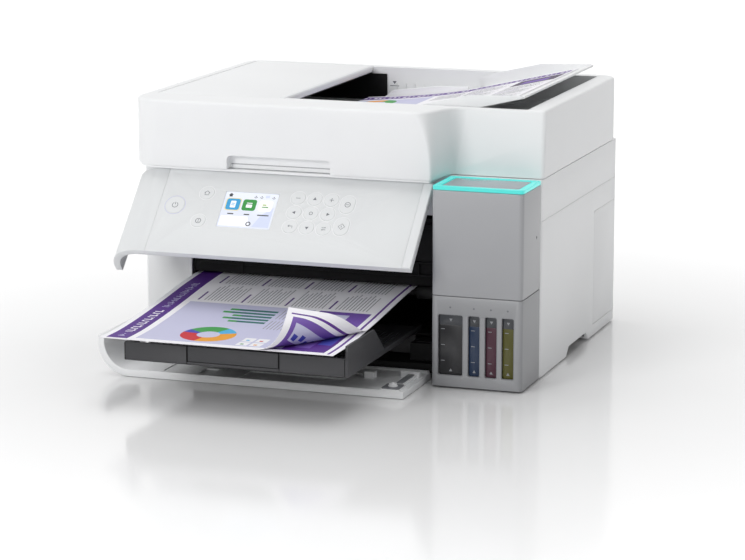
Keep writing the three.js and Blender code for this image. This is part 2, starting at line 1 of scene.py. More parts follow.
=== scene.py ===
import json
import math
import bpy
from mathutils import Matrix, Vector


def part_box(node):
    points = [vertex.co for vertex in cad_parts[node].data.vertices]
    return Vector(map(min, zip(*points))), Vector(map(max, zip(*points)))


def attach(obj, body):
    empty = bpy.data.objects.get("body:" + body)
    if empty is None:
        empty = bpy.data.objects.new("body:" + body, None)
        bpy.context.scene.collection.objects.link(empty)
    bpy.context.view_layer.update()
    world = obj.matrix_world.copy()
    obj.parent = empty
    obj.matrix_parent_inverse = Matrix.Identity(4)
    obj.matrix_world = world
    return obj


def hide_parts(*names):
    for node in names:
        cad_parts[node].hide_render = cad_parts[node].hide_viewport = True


bl_info = {
    "name": "Inkjet Printer",
    "version": (1, 0, 0),
    "blender": (4, 5, 0),
    "location": "View3D > Sidebar > Printer",
    "description": "Builds the looks of a desktop inkjet printer round its solid model",
    "category": "Add Mesh",
}

import bmesh
import bpy
from mathutils import Matrix, Vector

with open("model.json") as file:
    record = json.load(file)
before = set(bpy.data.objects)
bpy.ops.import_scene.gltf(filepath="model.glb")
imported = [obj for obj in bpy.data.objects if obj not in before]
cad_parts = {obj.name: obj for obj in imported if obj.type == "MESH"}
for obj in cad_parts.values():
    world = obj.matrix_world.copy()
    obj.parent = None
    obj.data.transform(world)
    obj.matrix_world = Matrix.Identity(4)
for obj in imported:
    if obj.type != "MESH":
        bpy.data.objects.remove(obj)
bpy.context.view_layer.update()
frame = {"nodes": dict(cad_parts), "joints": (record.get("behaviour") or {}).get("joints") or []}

MM = 0.001
LID_CORNER = Vector(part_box("document_lid")[0])
TABLE_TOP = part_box("foot_front_left")[0][2]

# Points nearer than MERGE become one, and so do faces within FLAT degrees. Edges over SHARP degrees are
# rounded, or stay sharp where the rest is smooth.
MERGE, FLAT, SHARP = 0.02 * MM, 0.1, 35

# The slow drift of colour and gloss over a finish, and its fine grain.
DRIFT_SCALE, DRIFT_DETAIL = 14, 3
GRAIN_DETAIL, GRAIN_DEPTH = 2, 0.2 * MM


# ---------------------------------------------------------------- places
# Pieces are laid out in millimetres: x from the left side, y from the front face of the lid, z from the
# table.


def at(x, y, z):
    return Vector((LID_CORNER.x + x * MM, LID_CORNER.y + y * MM, TABLE_TOP + z * MM))


def joint(name):
    return next(j for j in frame["joints"] if j["name"] == name)


PANEL_HINGE = Vector(joint("panel_tilt")["pos_m"])
PANEL_TILT = math.radians(joint("panel_tilt")["range_deg"][1])


def on_panel(x, up, into):
    """A point of the tilted panel: x from the left side, up its face and into it from its hinge axis."""
    turned = Matrix.Rotation(-PANEL_TILT, 3, "X") @ Vector((0, into, up))
    return Vector((LID_CORNER.x + x * MM, PANEL_HINGE.y, PANEL_HINGE.z)) + turned * MM


def facing_up(u, v, w):
    return at(u, v, w)


def facing_side(u, v, w):
    return at(w, u, v)


def facing_front(u, v, w):
    return at(u, w, v)


# ---------------------------------------------------------------- sizes and colours


def paint(red, green, blue):
    """Scene colour of an 8-bit paint value."""

    def linear(c):
        c /= 255
        return c / 12.92 if c <= 0.04045 else ((c + 0.055) / 1.055) ** 2.4

    return (linear(red), linear(green), linear(blue))


def colour(name, description, red, green, blue):
    return bpy.props.FloatVectorProperty(
        name=name, description=description, subtype="COLOR", size=3, min=0, max=1,
        default=paint(red, green, blue),
    )


def length(name, description, millimetres):
    return bpy.props.FloatProperty(
        name=name, description=description, default=millimetres * MM, min=0,
        subtype="DISTANCE", unit="LENGTH",
    )


class PrinterColours(bpy.types.PropertyGroup):
    white: colour("White", "Moulded white of the shells", 238, 239, 240)
    # Painted shade: the panel white is the shell white made darker for the shade on the downward-tilted
    # control panel.
    panel: colour("Panel white", "White of the control panel", 224, 226, 227)
    soft_white: colour("Soft white", "White of the ramp, the pad and the rear cover", 230, 231, 233)
    # Painted shade: the key white is darker than the shell white for the shade on the downward-tilted
    # control panel.
    keys: colour("Keys", "White of the panel keys", 226, 228, 229)
    glyphs: colour("Glyphs", "Grey of the signs on the keys", 110, 112, 120)
    tank: colour("Tank grey", "Grey of the ink tank unit", 162, 163, 166)
    tray: colour("Tray grey", "Dark grey of the trays", 56, 56, 59)
    black: colour("Inner black", "Black of the inner frame", 13, 13, 14)
    ring: colour("Ring light", "Light round the top of the tank", 84, 238, 230)
    purple: colour("Purple", "Purple ink on the printed sheets", 74, 24, 126)
    lilac: colour("Lilac", "Lilac panel on the printed sheets", 200, 200, 226)


class PrinterSizes(bpy.types.PropertyGroup):
    shell_edge: length("Shell edge", "Rounding of the edges of the white shells", 0.9)
    tray_edge: length("Tray edge", "Rounding of the edges of the trays", 0.5)
    lid_edge: length("Lid edge", "Rounding of the top edge of the lid", 2.5)
    key_edge: length("Key edge", "Rounding of the rim of a key", 0.35)
    sheet: length("Sheet", "Thickness of a sheet of paper", 0.12)


# ---------------------------------------------------------------- finishes


FINISHES = {}


def finish(name, tint, roughness=0.45, spread=0.05, grain=1500, bump=0.06, mottle=0.02, **sockets):
    """Moulded or painted surface: fine grain in relief, with a faint drift of colour and of gloss."""
    if name in FINISHES:
        return FINISHES[name]
    material = FINISHES[name] = bpy.data.materials.new(name + "_finish")
    material.use_nodes = True
    tree = material.node_tree
    nodes, links = tree.nodes, tree.links
    shader = nodes["Principled BSDF"]
    place = nodes.new("ShaderNodeTexCoord")

    broad = nodes.new("ShaderNodeTexNoise")
    broad.inputs["Scale"].default_value = DRIFT_SCALE
    broad.inputs["Detail"].default_value = DRIFT_DETAIL
    links.new(place.outputs["Object"], broad.inputs["Vector"])

    fine = nodes.new("ShaderNodeTexNoise")
    fine.inputs["Scale"].default_value = grain
    fine.inputs["Detail"].default_value = GRAIN_DETAIL
    links.new(place.outputs["Object"], fine.inputs["Vector"])

    tone = nodes.new("ShaderNodeValToRGB")
    tone.color_ramp.elements[0].position = 0.3
    tone.color_ramp.elements[1].position = 0.7
    tone.color_ramp.elements[0].color = (*[c * (1 - mottle) for c in tint], 1)
    tone.color_ramp.elements[1].color = (*[min(1, c * (1 + mottle)) for c in tint], 1)
    links.new(broad.outputs["Fac"], tone.inputs["Fac"])
    links.new(tone.outputs["Color"], shader.inputs["Base Color"])

    gloss = nodes.new("ShaderNodeMapRange")
    gloss.inputs["To Min"].default_value = roughness - spread
    gloss.inputs["To Max"].default_value = roughness + spread
    links.new(broad.outputs["Fac"], gloss.inputs["Value"])
    links.new(gloss.outputs["Result"], shader.inputs["Roughness"])

    relief = nodes.new("ShaderNodeBump")
    relief.inputs["Strength"].default_value = bump
    relief.inputs["Distance"].default_value = GRAIN_DEPTH
    links.new(fine.outputs["Fac"], relief.inputs["Height"])
    links.new(relief.outputs["Normal"], shader.inputs["Normal"])

    for socket, value in sockets.items():
        shader.inputs[socket.replace("_", " ").title().replace("Ior", "IOR")].default_value = value
    return material


def colours():
    return bpy.context.scene.printer_colours


def sizes():
    return bpy.context.scene.printer_sizes


def white():
    return finish("shell_white", colours().white, roughness=0.42, bump=0.05, mottle=0.012)


# Painted shade: the shell white finish in a darker white, for the shade on the downward-tilted control
# panel.
def panel_shaded_white():
    return finish("panel_shaded_white", colours().panel, roughness=0.42, bump=0.05, mottle=0.012)


def soft_white():
    return finish("soft_white", colours().soft_white, roughness=0.5, bump=0.08, mottle=0.015)


def tank_grey():
    return finish(
        "tank_grey", colours().tank, roughness=0.36, bump=0.04, mottle=0.015, coat_weight=0.15)


def tray_grey():
    return finish(
        "tray_grey", colours().tray, roughness=0.5, spread=0.08, grain=1100, bump=0.25, mottle=0.08)


def inner_black():
    return finish(
        "inner_black", colours().black, roughness=0.55, spread=0.1, grain=1100, bump=0.2, mottle=0.15,
        specular_ior_level=0.2)


def rubber():
    return finish(
        "rubber", paint(34, 34, 35), roughness=0.8, spread=0.08, grain=2200, bump=0.4, mottle=0.1)


def paper():
    return finish(
        "paper", paint(247, 246, 250), roughness=0.75, grain=2600, bump=0.15, mottle=0.01)


def ink(name, tint):
    """Printed colour on paper."""
    return finish("print_" + name, tint, roughness=0.6, spread=0.04, grain=2600, bump=0.1)


def glow(name, tint, strength, roughness=0.3):
    dim = [c * 0.3 for c in tint]
    return finish(
        name, dim, roughness, spread=0.03, emission_color=(*tint, 1), emission_strength=strength)


# ---------------------------------------------------------------- mesh tools


class Shape:
    """Vertices and faces of a piece, gathered from its parts; each face keeps its finish number."""

    def __init__(self, *parts):
        self.points, self.faces, self.finishes = [], [], []
        for points, faces in parts:
            self.add(points, faces)

    def add(self, points, faces, number=0):
        first = len(self.points)
        self.points += points
        self.faces += [tuple(first + i for i in face) for face in faces]
        self.finishes += [number] * len(faces)


def prism(points, low, high, place):
    """Closed solid over an outline, between two heights."""
    n = len(points)
    corners = [place(u, v, low) for u, v in points] + [place(u, v, high) for u, v in points]
    faces = [tuple(range(n - 1, -1, -1)), tuple(range(n, 2 * n))]
    faces += [(i, (i + 1) % n, n + (i + 1) % n, n + i) for i in range(n)]
    return corners, faces


def rectangle(u0, u1, v0, v1):
    return [(u0, v0), (u1, v0), (u1, v1), (u0, v1)]


def block(left, right, foot, top, front, back):
    """Solid with six flat faces, along the printer's own axes."""
    return prism(rectangle(left, right, foot, top), front, back, facing_front)


def rounded(u0, u1, v0, v1, radii, steps=8):
    """Rectangle with round corners; radii are those of low u low v, high u low v, high u high v and
    low u high v."""
    if not isinstance(radii, (list, tuple)):
        radii = [radii] * 4
    centres = [(u0, v0, 1, 1, 180), (u1, v0, -1, 1, 270), (u1, v1, -1, -1, 0), (u0, v1, 1, -1, 90)]
    points = []
    for r, (u, v, right, up, start) in zip(radii, centres):
        for i in range(steps + 1):
            angle = math.radians(start + 90 * i / steps)
            points.append((u + right * r + r * math.cos(angle), v + up * r + r * math.sin(angle)))
    return points


def disc(u, v, radius, steps=32):
    turn = 2 * math.pi / steps
    return [(u + radius * math.cos(i * turn), v + radius * math.sin(i * turn)) for i in range(steps)]


def arc_line(u, v, radius, start, end, steps=20):
    """Points along an arc between two angles in degrees."""
    return [(u + radius * math.cos(math.radians(start + (end - start) * i / steps)),
             v + radius * math.sin(math.radians(start + (end - start) * i / steps)))
            for i in range(steps + 1)]


def shrink(points, distance):
    """Moves every point of a closed outline inwards."""
    moved = []
    for i, (u, v) in enumerate(points):
        pu, pv = points[i - 1]
        nu, nv = points[(i + 1) % len(points)]
        long = math.hypot(nu - pu, nv - pv) or 1
        moved.append((u - distance * (nv - pv) / long, v + distance * (nu - pu) / long))
    return moved


def loft(loops):
    """Closed solid through a stack of loops that have the same number of points."""
    n = len(loops[0])
    points = [p for loop in loops for p in loop]
    faces = [tuple(range(n - 1, -1, -1)), tuple(range(len(points) - n, len(points)))]
    for k in range(len(loops) - 1):
        a = k * n
        faces += [(a + i, a + (i + 1) % n, a + n + (i + 1) % n, a + n + i) for i in range(n)]
    return points, faces


def pad(points, low, high, place, soft, steps=4):
    """Solid over an outline, with its top and bottom edges rounded."""
    rise = [(soft * (1 - math.cos(a)), soft * (1 - math.sin(a)))
            for a in [math.pi / 2 * i / steps for i in range(steps + 1)]]
    levels = [(low + up, inward) for up, inward in rise]
    levels += [(high - up, inward) for up, inward in reversed(rise)]
    return loft([[place(u, v, w) for u, v in shrink(points, inward)] for w, inward in levels])


def ribbon(line, width, low, high, place, closed=False):
    """Solid stroke along a line in a plane."""
    n = len(line)
    left, right = [], []
    for i, (u, v) in enumerate(line):
        before = line[i - 1] if (i or closed) else line[i]
        after = line[(i + 1) % n] if (i < n - 1 or closed) else line[i]
        du, dv = after[0] - before[0], after[1] - before[1]
        long = math.hypot(du, dv) or 1
        left.append((u - dv / long * width / 2, v + du / long * width / 2))
        right.append((u + dv / long * width / 2, v - du / long * width / 2))
    points, faces = [], []
    for w in (low, high):
        points += [place(u, v, w) for u, v in left] + [place(u, v, w) for u, v in right]
    spans = range(n if closed else n - 1)
    for i in spans:
        j = (i + 1) % n
        faces += [(i, j, n + j, n + i), (2 * n + i, 3 * n + i, 3 * n + j, 2 * n + j),
                  (i, 2 * n + i, 2 * n + j, j), (n + i, n + j, 3 * n + j, 3 * n + i)]
    if not closed:
        faces += [(0, n, 3 * n, 2 * n), (n - 1, 3 * n - 1, 4 * n - 1, 2 * n - 1)]
    return points, faces


def new_object(name, mesh):
    piece = bpy.data.objects.new(name, mesh)
    bpy.context.scene.collection.objects.link(piece)
    return piece


def to_object(name, shape, *materials):
    mesh = bpy.data.meshes.new(name)
    mesh.from_pydata([tuple(p) for p in shape.points], [], shape.faces)
    for material in materials:
        mesh.materials.append(material)
    for face, number in zip(mesh.polygons, shape.finishes):
        face.material_index = number
    work = bmesh.new()
    work.from_mesh(mesh)
    bmesh.ops.recalc_face_normals(work, faces=work.faces)
    work.to_mesh(mesh)
    work.free()
    return new_object(name, mesh)


def settle_mesh(piece):
    """Turns the piece's modifiers into its mesh."""
    bpy.context.view_layer.update()
    seen = piece.evaluated_get(bpy.context.evaluated_depsgraph_get())
    mesh = bpy.data.meshes.new_from_object(seen)
    old = piece.data
    piece.modifiers.clear()
    piece.data = mesh
    mesh.name = piece.name
    bpy.data.meshes.remove(old)


def carve(piece, cutter):
    """Takes a shape away from a piece."""
    tool = to_object(piece.name + "_cutter", cutter)
    change = piece.modifiers.new("Cut", "BOOLEAN")
    change.operation = "DIFFERENCE"
    change.solver = "EXACT"
    change.object = tool
    settle_mesh(piece)
    bpy.data.objects.remove(tool)


def is_hollow(face):
    """Whether a face bends inwards somewhere."""
    corners = [loop.vert.co for loop in face.loops]
    for i, corner in enumerate(corners):
        turn = (corner - corners[i - 1]).cross(corners[(i + 1) % len(corners)] - corner)
        if turn.dot(face.normal) < -1e-12:
            return True
    return False


def soften(piece, width, steps=2, angle=SHARP, flatten=FLAT, divide=False):
    """Rounds the sharp edges of a piece and shades it smooth. Where asked to, it divides the faces round
    its openings into triangles first, since rounding can fold such a face over itself."""
    work = bmesh.new()
    work.from_mesh(piece.data)
    bmesh.ops.remove_doubles(work, verts=work.verts, dist=MERGE)
    bmesh.ops.dissolve_limit(
        work, angle_limit=math.radians(flatten), verts=work.verts, edges=work.edges)
    if divide:
        hollow = [face for face in work.faces if len(face.verts) > 4 and is_hollow(face)]
        bmesh.ops.triangulate(work, faces=hollow)
    work.to_mesh(piece.data)
    work.free()
    piece.data.shade_smooth()
    edge = piece.modifiers.new("Edge", "BEVEL")
    edge.width = width
    edge.segments = steps
    edge.limit_method = "ANGLE"
    edge.angle_limit = math.radians(angle)
    edge.harden_normals = True
    edge.use_clamp_overlap = True
    settle_mesh(piece)


def smooth(piece, angle):
    piece.data.shade_smooth()
    piece.data.set_sharp_from_angle(angle=math.radians(angle))


def place_piece(piece, body, slot, *nodes):
    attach(piece, body)
    if nodes:
        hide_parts(*nodes)


def build(name, shape, materials, body, slot, *nodes, angle=SHARP, edge=None, steps=2):
    """Makes a piece of a shape and puts it on its body. Its edges are rounded where a width is given for
    them, and an angle of None leaves it flat."""
    if not isinstance(materials, list):
        materials = [materials]
    piece = to_object(name, shape, *materials)
    if edge:
        soften(piece, edge * MM, steps)
    elif angle:
        smooth(piece, angle)
    place_piece(piece, body, slot, *nodes)


def copy_of(node, name, material):
    """A merged copy of a solid of the frame, ready for cuts and rounding."""
    mesh = frame["nodes"][node].data.copy()
    mesh.name = name
    mesh.materials.clear()
    mesh.materials.append(material)
    work = bmesh.new()
    work.from_mesh(mesh)
    bmesh.ops.remove_doubles(work, verts=work.verts, dist=MERGE)
    bmesh.ops.dissolve_limit(work, angle_limit=math.radians(FLAT), verts=work.verts, edges=work.edges)
    for face in work.faces:
        face.material_index = 0
        face.smooth = True
    work.to_mesh(mesh)
    work.free()
    return new_object(name, mesh)


def shell(node, name, material, body, slot, width, steps=2, divide=False):
    piece = copy_of(node, name, material)
    soften(piece, width, steps, divide=divide)
    place_piece(piece, body, slot, node)
    return piece


def dress(node, material):
    """Gives a solid of the frame its finish."""
    data = frame["nodes"][node].data
    data.materials.clear()
    data.materials.append(material)


ROW_EDGE = 0.3 * MM


def row_tree():
    """Geometry nodes that lay a row of blocks from a start, one step apart."""
    tree = bpy.data.node_groups.get("block_row")
    if tree:
        return tree
    tree = bpy.data.node_groups.new("block_row", "GeometryNodeTree")
    tree.is_modifier = True
    face = tree.interface
    face.new_socket("Blocks", in_out="OUTPUT", socket_type="NodeSocketGeometry")
    face.new_socket("Start", in_out="INPUT", socket_type="NodeSocketVector")
    face.new_socket("Step", in_out="INPUT", socket_type="NodeSocketVector")
    face.new_socket("Size", in_out="INPUT", socket_type="NodeSocketVector")
    face.new_socket("Count", in_out="INPUT", socket_type="NodeSocketInt")
    face.new_socket("Finish", in_out="INPUT", socket_type="NodeSocketMaterial")
    nodes, links = tree.nodes, tree.links
    inputs, outputs = nodes.new("NodeGroupInput"), nodes.new("NodeGroupOutput")
    line = nodes.new("GeometryNodeMeshLine")
    block = nodes.new("GeometryNodeMeshCube")
    copies = nodes.new("GeometryNodeInstanceOnPoints")
    real = nodes.new("GeometryNodeRealizeInstances")
    dressed = nodes.new("GeometryNodeSetMaterial")
    links.new(inputs.outputs["Start"], line.inputs["Start Location"])
    links.new(inputs.outputs["Step"], line.inputs["Offset"])
    links.new(inputs.outputs["Count"], line.inputs["Count"])
    links.new(inputs.outputs["Size"], block.inputs["Size"])
    links.new(line.outputs["Mesh"], copies.inputs["Points"])
    links.new(block.outputs["Mesh"], copies.inputs["Instance"])
    links.new(copies.outputs["Instances"], real.inputs["Geometry"])
    links.new(real.outputs["Geometry"], dressed.inputs["Geometry"])
    links.new(inputs.outputs["Finish"], dressed.inputs["Material"])
    links.new(dressed.outputs["Geometry"], outputs.inputs["Blocks"])
    return tree


def row(name, first, step, size, count, material):
    """A row of equal ribs; first is the middle of the first one, in millimetres."""
    piece = new_object(name, bpy.data.meshes.new(name))
    tree = row_tree()
    change = piece.modifiers.new("Row", "NODES")
    change.node_group = tree
    values = {"Start": at(*first), "Step": Vector(step) * MM, "Size": Vector(size) * MM,
              "Count": count, "Finish": material}
    for socket in tree.interface.items_tree:
        if socket.in_out == "INPUT":
            value = values[socket.name]
            change[socket.identifier] = tuple(value) if isinstance(value, Vector) else value
    settle_mesh(piece)
    soften(piece, ROW_EDGE, steps=1)
    return piece


# ---------------------------------------------------------------- base and mechanism

BAY_LEFT, BAY_RIGHT = 52, 286
FASCIA = 40
SIDE_WALL = 374.6
REAR_COVER_BACK = 321.9


def base():
    width = sizes().shell_edge
    shell("base_housing", "base_shell", white(), "base", "white_shell", width, divide=True)
    shell("side_access_cover", "side_access_panel", white(), "base", "white_shell", 0.5 * MM)
    for corner in ("front_left", "front_right", "back_left", "back_right"):
        dress("foot_" + corner, rubber())
    mark = Shape(pad(disc(224, 113, 2.2, 24), SIDE_WALL, SIDE_WALL + 0.15, facing_side, 0.05))
    build("access_catch_mark", mark, tank_grey(), "base", "tank_grey")


def mechanism():
    black = inner_black()
    shell("mechanism_frame", "inner_frame", black, "base", "inner_black", 0.6 * MM)
    for node in ("platen", "print_carriage", "power_supply"):
        dress(node, black)
    steel = finish(
        "rail_steel", (0.6, 0.61, 0.63), roughness=0.3, spread=0.08, grain=700, bump=0.1, mottle=0.05,
        metallic=1)
    dress("carriage_rail", steel)
    for node in ("exit_roller", "feed_roller", "feed_drum", "pickup_roller"):
        dress(node, rubber())
    ledges = Shape(
        block(BAY_LEFT, BAY_RIGHT, 128.5, 132.5, FASCIA - 2.8, FASCIA),
        block(BAY_LEFT, BAY_RIGHT, 96, 98, FASCIA - 1.6, FASCIA),
        block(BAY_LEFT, BAY_RIGHT, 84, 86.5, FASCIA - 1.4, FASCIA),
        block(93, 95, 77, 137, FASCIA - 1.8, FASCIA),
        block(262, 289, 14, 30, 14, FASCIA - 2),
        block(266, 286, 30, 31.2, 18, 34),
    )
    build("fascia_ledges", ledges, black, "base", "inner_black", edge=0.5)
    ribs = row("fascia_ribs", (108, FASCIA - 1, 91), (14, 0, 0), (1.2, 1.8, 9), 13, black)
    place_piece(ribs, "base", "inner_black")


def rear():
    shell("rear_cover", "duplex_cover", soft_white(), "rear_cover", "soft_white", 1.2 * MM)
    grips = Shape()
    for x in (92, 238):
        outline = rounded(x, x + 20, 56, 80, 4)
        grips.add(*pad(outline, REAR_COVER_BACK, REAR_COVER_BACK + 1.7, facing_front, 0.6))
    catch_grey = finish("catch_grey", paint(196, 197, 200), 0.45)
    build("duplex_catches", grips, catch_grey, "rear_cover", "soft_white")
    shell("power_inlet", "power_socket", inner_black(), "base", "inner_black", 0.4 * MM)


# ---------------------------------------------------------------- scanner, lid and feeder

GLASS_TOP = 177.32
GLASS_FRONT, GLASS_BACK = 54.3, 277.7

LID_WIDTH, LID_DEPTH = 375, 300
LID_FOOT, LID_TOP = 178, 237
LID_FRONT_ROUND, LID_TANK_ROUND, LID_BACK_ROUND = 30, 4, 20
LID_SWEEP_STEPS, LID_RISE_STEPS, LID_EDGE_STEPS = 40, 12, 6

# The recess takes the document ramp, from its low end at the feeder to the flap's hinge.
RECESS_LEFT, RECESS_RIGHT, RECESS_FRONT, RECESS_BACK = 14, 358, 48, 285
RECESS_FOOT = 183
FEEDER_BED = 231.3
NOTCH_LEFT, NOTCH_RIGHT, NOTCH_TOP, NOTCH_DEPTH = 95, 192.5, 190.3, 9


def scanner():
    shell("scanner_housing", "scanner_shell", white(), "scanner", "white_shell", 0.8 * MM)
    pane = finish(
        "platen_glass", paint(205, 219, 221), roughness=0.04, spread=0.01, grain=300, bump=0.01,
        mottle=0.01, transmission_weight=0.75, ior=1.5)
    dress("scanner_glass", pane)
    dress("scan_bar", inner_black())
    borders = Shape()
    for x in (40, 341):
        outline = rectangle(x, x + 11, GLASS_FRONT, GLASS_BACK)
        borders.add(*prism(outline, GLASS_TOP, GLASS_TOP + 0.18, facing_up))
    build("glass_scale", borders, soft_white(), "scanner", "soft_white", angle=None)


def lid_outline(z):
    """Outline of the lid: a full front with a round left corner that sweeps back over the ink tank."""
    t = min(1, max(0, (z - LID_FOOT) / (LID_TOP - LID_FOOT)))
    end, back = 283 - 15.3 * t ** 2.7, 39.5 + 6.5 * t
    controls = [(end, 0), (291 - t, 0), (286 - 6 * t, back), (295 + 10 * t, back)]
    sweep = []
    for i in range(LID_SWEEP_STEPS + 1):
        s = i / LID_SWEEP_STEPS
        weights = ((1 - s) ** 3, 3 * s * (1 - s) ** 2, 3 * s * s * (1 - s), s ** 3)
        sweep.append(tuple(sum(w * c[k] for w, c in zip(weights, controls)) for k in (0, 1)))
    front, side, rear_corner = LID_FRONT_ROUND, LID_TANK_ROUND, LID_BACK_ROUND
    return (arc_line(front, front, front, 180, 270) + sweep
            + arc_line(LID_WIDTH - side, back + side, side, 270, 360, 6)
            + arc_line(LID_WIDTH - rear_corner, LID_DEPTH - rear_corner, rear_corner, 0, 90, 12)
            + arc_line(rear_corner, LID_DEPTH - rear_corner, rear_corner, 90, 180, 12))


def lid_levels(edge):
    """Heights of the lid's loops, and how far each is drawn in: a step at the foot and a round top."""
    straight = LID_FOOT + 0.6
    levels = [(LID_FOOT, 0.5), (LID_FOOT + 0.2, 0.15), (straight, 0.0)]
    for i in range(1, LID_RISE_STEPS + 1):
        levels.append((straight + (LID_TOP - edge - straight) * i / LID_RISE_STEPS, 0.0))
    for i in range(1, LID_EDGE_STEPS + 1):
        a = math.pi / 2 * i / LID_EDGE_STEPS
        levels.append((LID_TOP - edge + edge * math.sin(a), edge * (1 - math.cos(a))))
    return levels


def lid():
    levels = lid_levels(sizes().lid_edge / MM)
    loops = [[at(x, y, z) for x, y in shrink(lid_outline(z), inward)] for z, inward in levels]
    piece = to_object("lid_shell", Shape(loft(loops)), white())
    above = LID_TOP + 5
    recess = [(RECESS_LEFT, RECESS_FOOT), (132.5, RECESS_FOOT), (RECESS_RIGHT, 222),
              (RECESS_RIGHT, above), (RECESS_LEFT, above)]
    carve(piece, Shape(prism(recess, RECESS_FRONT, RECESS_BACK, facing_front)))
    bed = rounded(10, 133.5, 44, 289, [3, 0.05, 0.05, 3])
    carve(piece, Shape(prism(bed, FEEDER_BED, above, facing_up)))
    notch = rounded(NOTCH_LEFT, NOTCH_RIGHT, 170, NOTCH_TOP, [0.1, 0.1, 4, 4])
    carve(piece, Shape(prism(notch, -5, NOTCH_DEPTH, facing_front)))
    carve(piece, Shape(prism(rectangle(14, 361, 40, 292), 170, LID_FOOT + 2.3, facing_up)))
    soften(piece, 0.6 * MM, angle=32, flatten=0.03)
    place_piece(piece, "lid", "white_shell", "document_lid")
    shell("lid_pad", "white_pad", soft_white(), "lid", "soft_white", 0.5 * MM)

    line = Shape(block(NOTCH_LEFT + 1, NOTCH_RIGHT - 1, 181.4, 182.2, NOTCH_DEPTH - 0.3, NOTCH_DEPTH))
    build("notch_line", line, tank_grey(), "lid", "tank_grey", angle=None)
    ribs = row("recess_ribs", (140, RECESS_BACK - 0.6, 214), (9, 0, 0), (1.2, 1.0, 16), 10, white())
    place_piece(ribs, "lid", "white_shell")


def feeder():
    black = inner_black()
    shell("feed_cover", "feeder_cover", white(), "feed_cover", "white_shell", 1.2 * MM)
    outline = rounded(127.8, 132.6, 46, 287, 1.4, 4)
    lip = Shape(pad(outline, LID_TOP - 0.6, LID_TOP + 0.3, facing_up, 0.25, 3))
    build("feeder_cover_lip", lip, soft_white(), "feed_cover", "soft_white")
    outline = rectangle(16, 132.8, 50, 283)
    lining = Shape(pad(outline, FEEDER_BED - 0.4, FEEDER_BED + 0.2, facing_up, 0.1, 2))
    build("feeder_cover_lining", lining, black, "feed_cover", "inner_black", angle=None)
    shell("document_ramp", "ramp", soft_white(), "lid", "soft_white", 0.5 * MM)
    for side in ("front", "back"):
        name = "edge_guide_" + side
        shell(name, "fence_" + side, white(), name, "white_shell", 0.6 * MM)
    fence, sign = 265.3, 265.5
    mark = Shape(
        prism([(160, 226.4), (164, 226.4), (162, 223.6)], fence, sign, facing_front),
        block(157.5, 166.5, 221.6, 222.2, fence, sign),
    )
    mark_grey = finish("mark_grey", paint(96, 98, 104), 0.5)
    build("fill_mark", mark, mark_grey, "edge_guide_back", "white_shell", angle=None)
    walls = Shape(
        block(15, 132, 184, 186, 49, 284),
        block(15, 17, 186, 226, 49, 284),
        block(17, 148, 205, 230.6, 283.4, 284.7),
        block(17, 134, 186, 230.6, 48.4, 49.6),
    )
    build("feeder_bed", walls, black, "lid", "inner_black", edge=0.4)
    guides = row("feeder_ribs", (92, 66, 190), (0, 22, 0), (60, 2, 8), 10, black)
    place_piece(guides, "lid", "inner_black")


# ---------------------------------------------------------------- control panel and screen

# The panel's face lies 10 mm in front of its hinge axis and meets the lid at FACE_TOP over that axis. The
# places of the keys and of the screen are measured down the face from there.
FACE, FACE_TOP = -10, 10.3
KEY_PROUD = 0.3
SIGN_FRONT, SIGN_BACK = FACE - 0.24, FACE - 0.1
GROOVE = 0.3

KEY_COLUMNS, KEY_ROWS = (165.9, 181.5, 197.1), (26.2, 41.4, 56.6)
KEY_GRID = (
    ("key_minus", "key_up", "key_plus"),
    ("key_left", "key_ok", "key_right"),
    ("key_back", "key_down", "key_swap"),
)
# Middle across the panel, middle down the face, half width and half height.
KEYS = {
    "key_power": (53, 41.1, 8.6, 8.6),
    "key_home": (79.8, 26.5, 6.4, 6.4), "key_help": (79.4, 56.3, 6.4, 6.4),
    "key_stop": (212.8, 30.1, 6.4, 9), "key_start": (212.8, 53.2, 6.4, 9),
    **{name: (across, down, 6.4, 6.4)
       for down, names in zip(KEY_ROWS, KEY_GRID) for across, name in zip(KEY_COLUMNS, names)},
}


def glyph(name, x, z):
    """Strokes and solid signs of a key, round its middle."""
    ring = (arc_line(x, z, 2.4, 0, 342, 24), True)
    strokes, solids = [], []
    if name == "key_power":
        strokes = [(arc_line(x, z, 2.6, 120, 420), False), ([(x, z + 0.4), (x, z + 3.1)], False)]
    elif name == "key_home":
        walls = [(x - 1.8, z + 0.4), (x - 1.8, z - 2), (x + 1.8, z - 2), (x + 1.8, z + 0.4)]
        strokes = [([(x - 2.6, z), (x, z + 2.3), (x + 2.6, z)], False), (walls, False)]
    elif name == "key_help":
        strokes = [ring]
        solids = [disc(x, z + 0.9, 0.45, 12), disc(x, z - 0.7, 0.45, 12)]
    elif name == "key_stop":
        strokes = [ring, ([(x - 1.4, z), (x + 1.4, z)], False)]
    elif name == "key_start":
        strokes = [([(x, z + 3), (x + 3, z), (x, z - 3), (x - 3, z)], True),
                   ([(x - 0.2, z + 1), (x - 0.2, z - 1)], False)]
    elif name == "key_minus":
        strokes = [([(x - 2, z), (x + 2, z)], False)]
    elif name == "key_plus":
        strokes = [([(x - 2, z), (x + 2, z)], False), ([(x, z - 2), (x, z + 2)], False)]
    elif name == "key_ok":
        strokes = [(arc_line(x, z, 1.5, 0, 342, 20), True)]
    elif name == "key_back":
        strokes = [([(x + 2, z - 1.4), (x + 2, z + 0.8), (x - 2, z + 0.8)], False),
                   ([(x - 0.9, z + 1.9), (x - 2.1, z + 0.8), (x - 0.9, z - 0.3)], False)]
    elif name == "key_swap":
        for way in (1, -1):
            level = z + way
            strokes += [([(x - 2 * way, level), (x + 1.6 * way, level)], False),
                        ([(x + 0.7 * way, z + 1.8 * way), (x + 1.8 * way, level)], False)]
    else:
        turn = {"key_right": 0, "key_up": 90, "key_left": 180, "key_down": 270}[name]
        solids = [arc_line(x, z, 1.9, turn, turn + 240, 2)]
    return strokes, solids


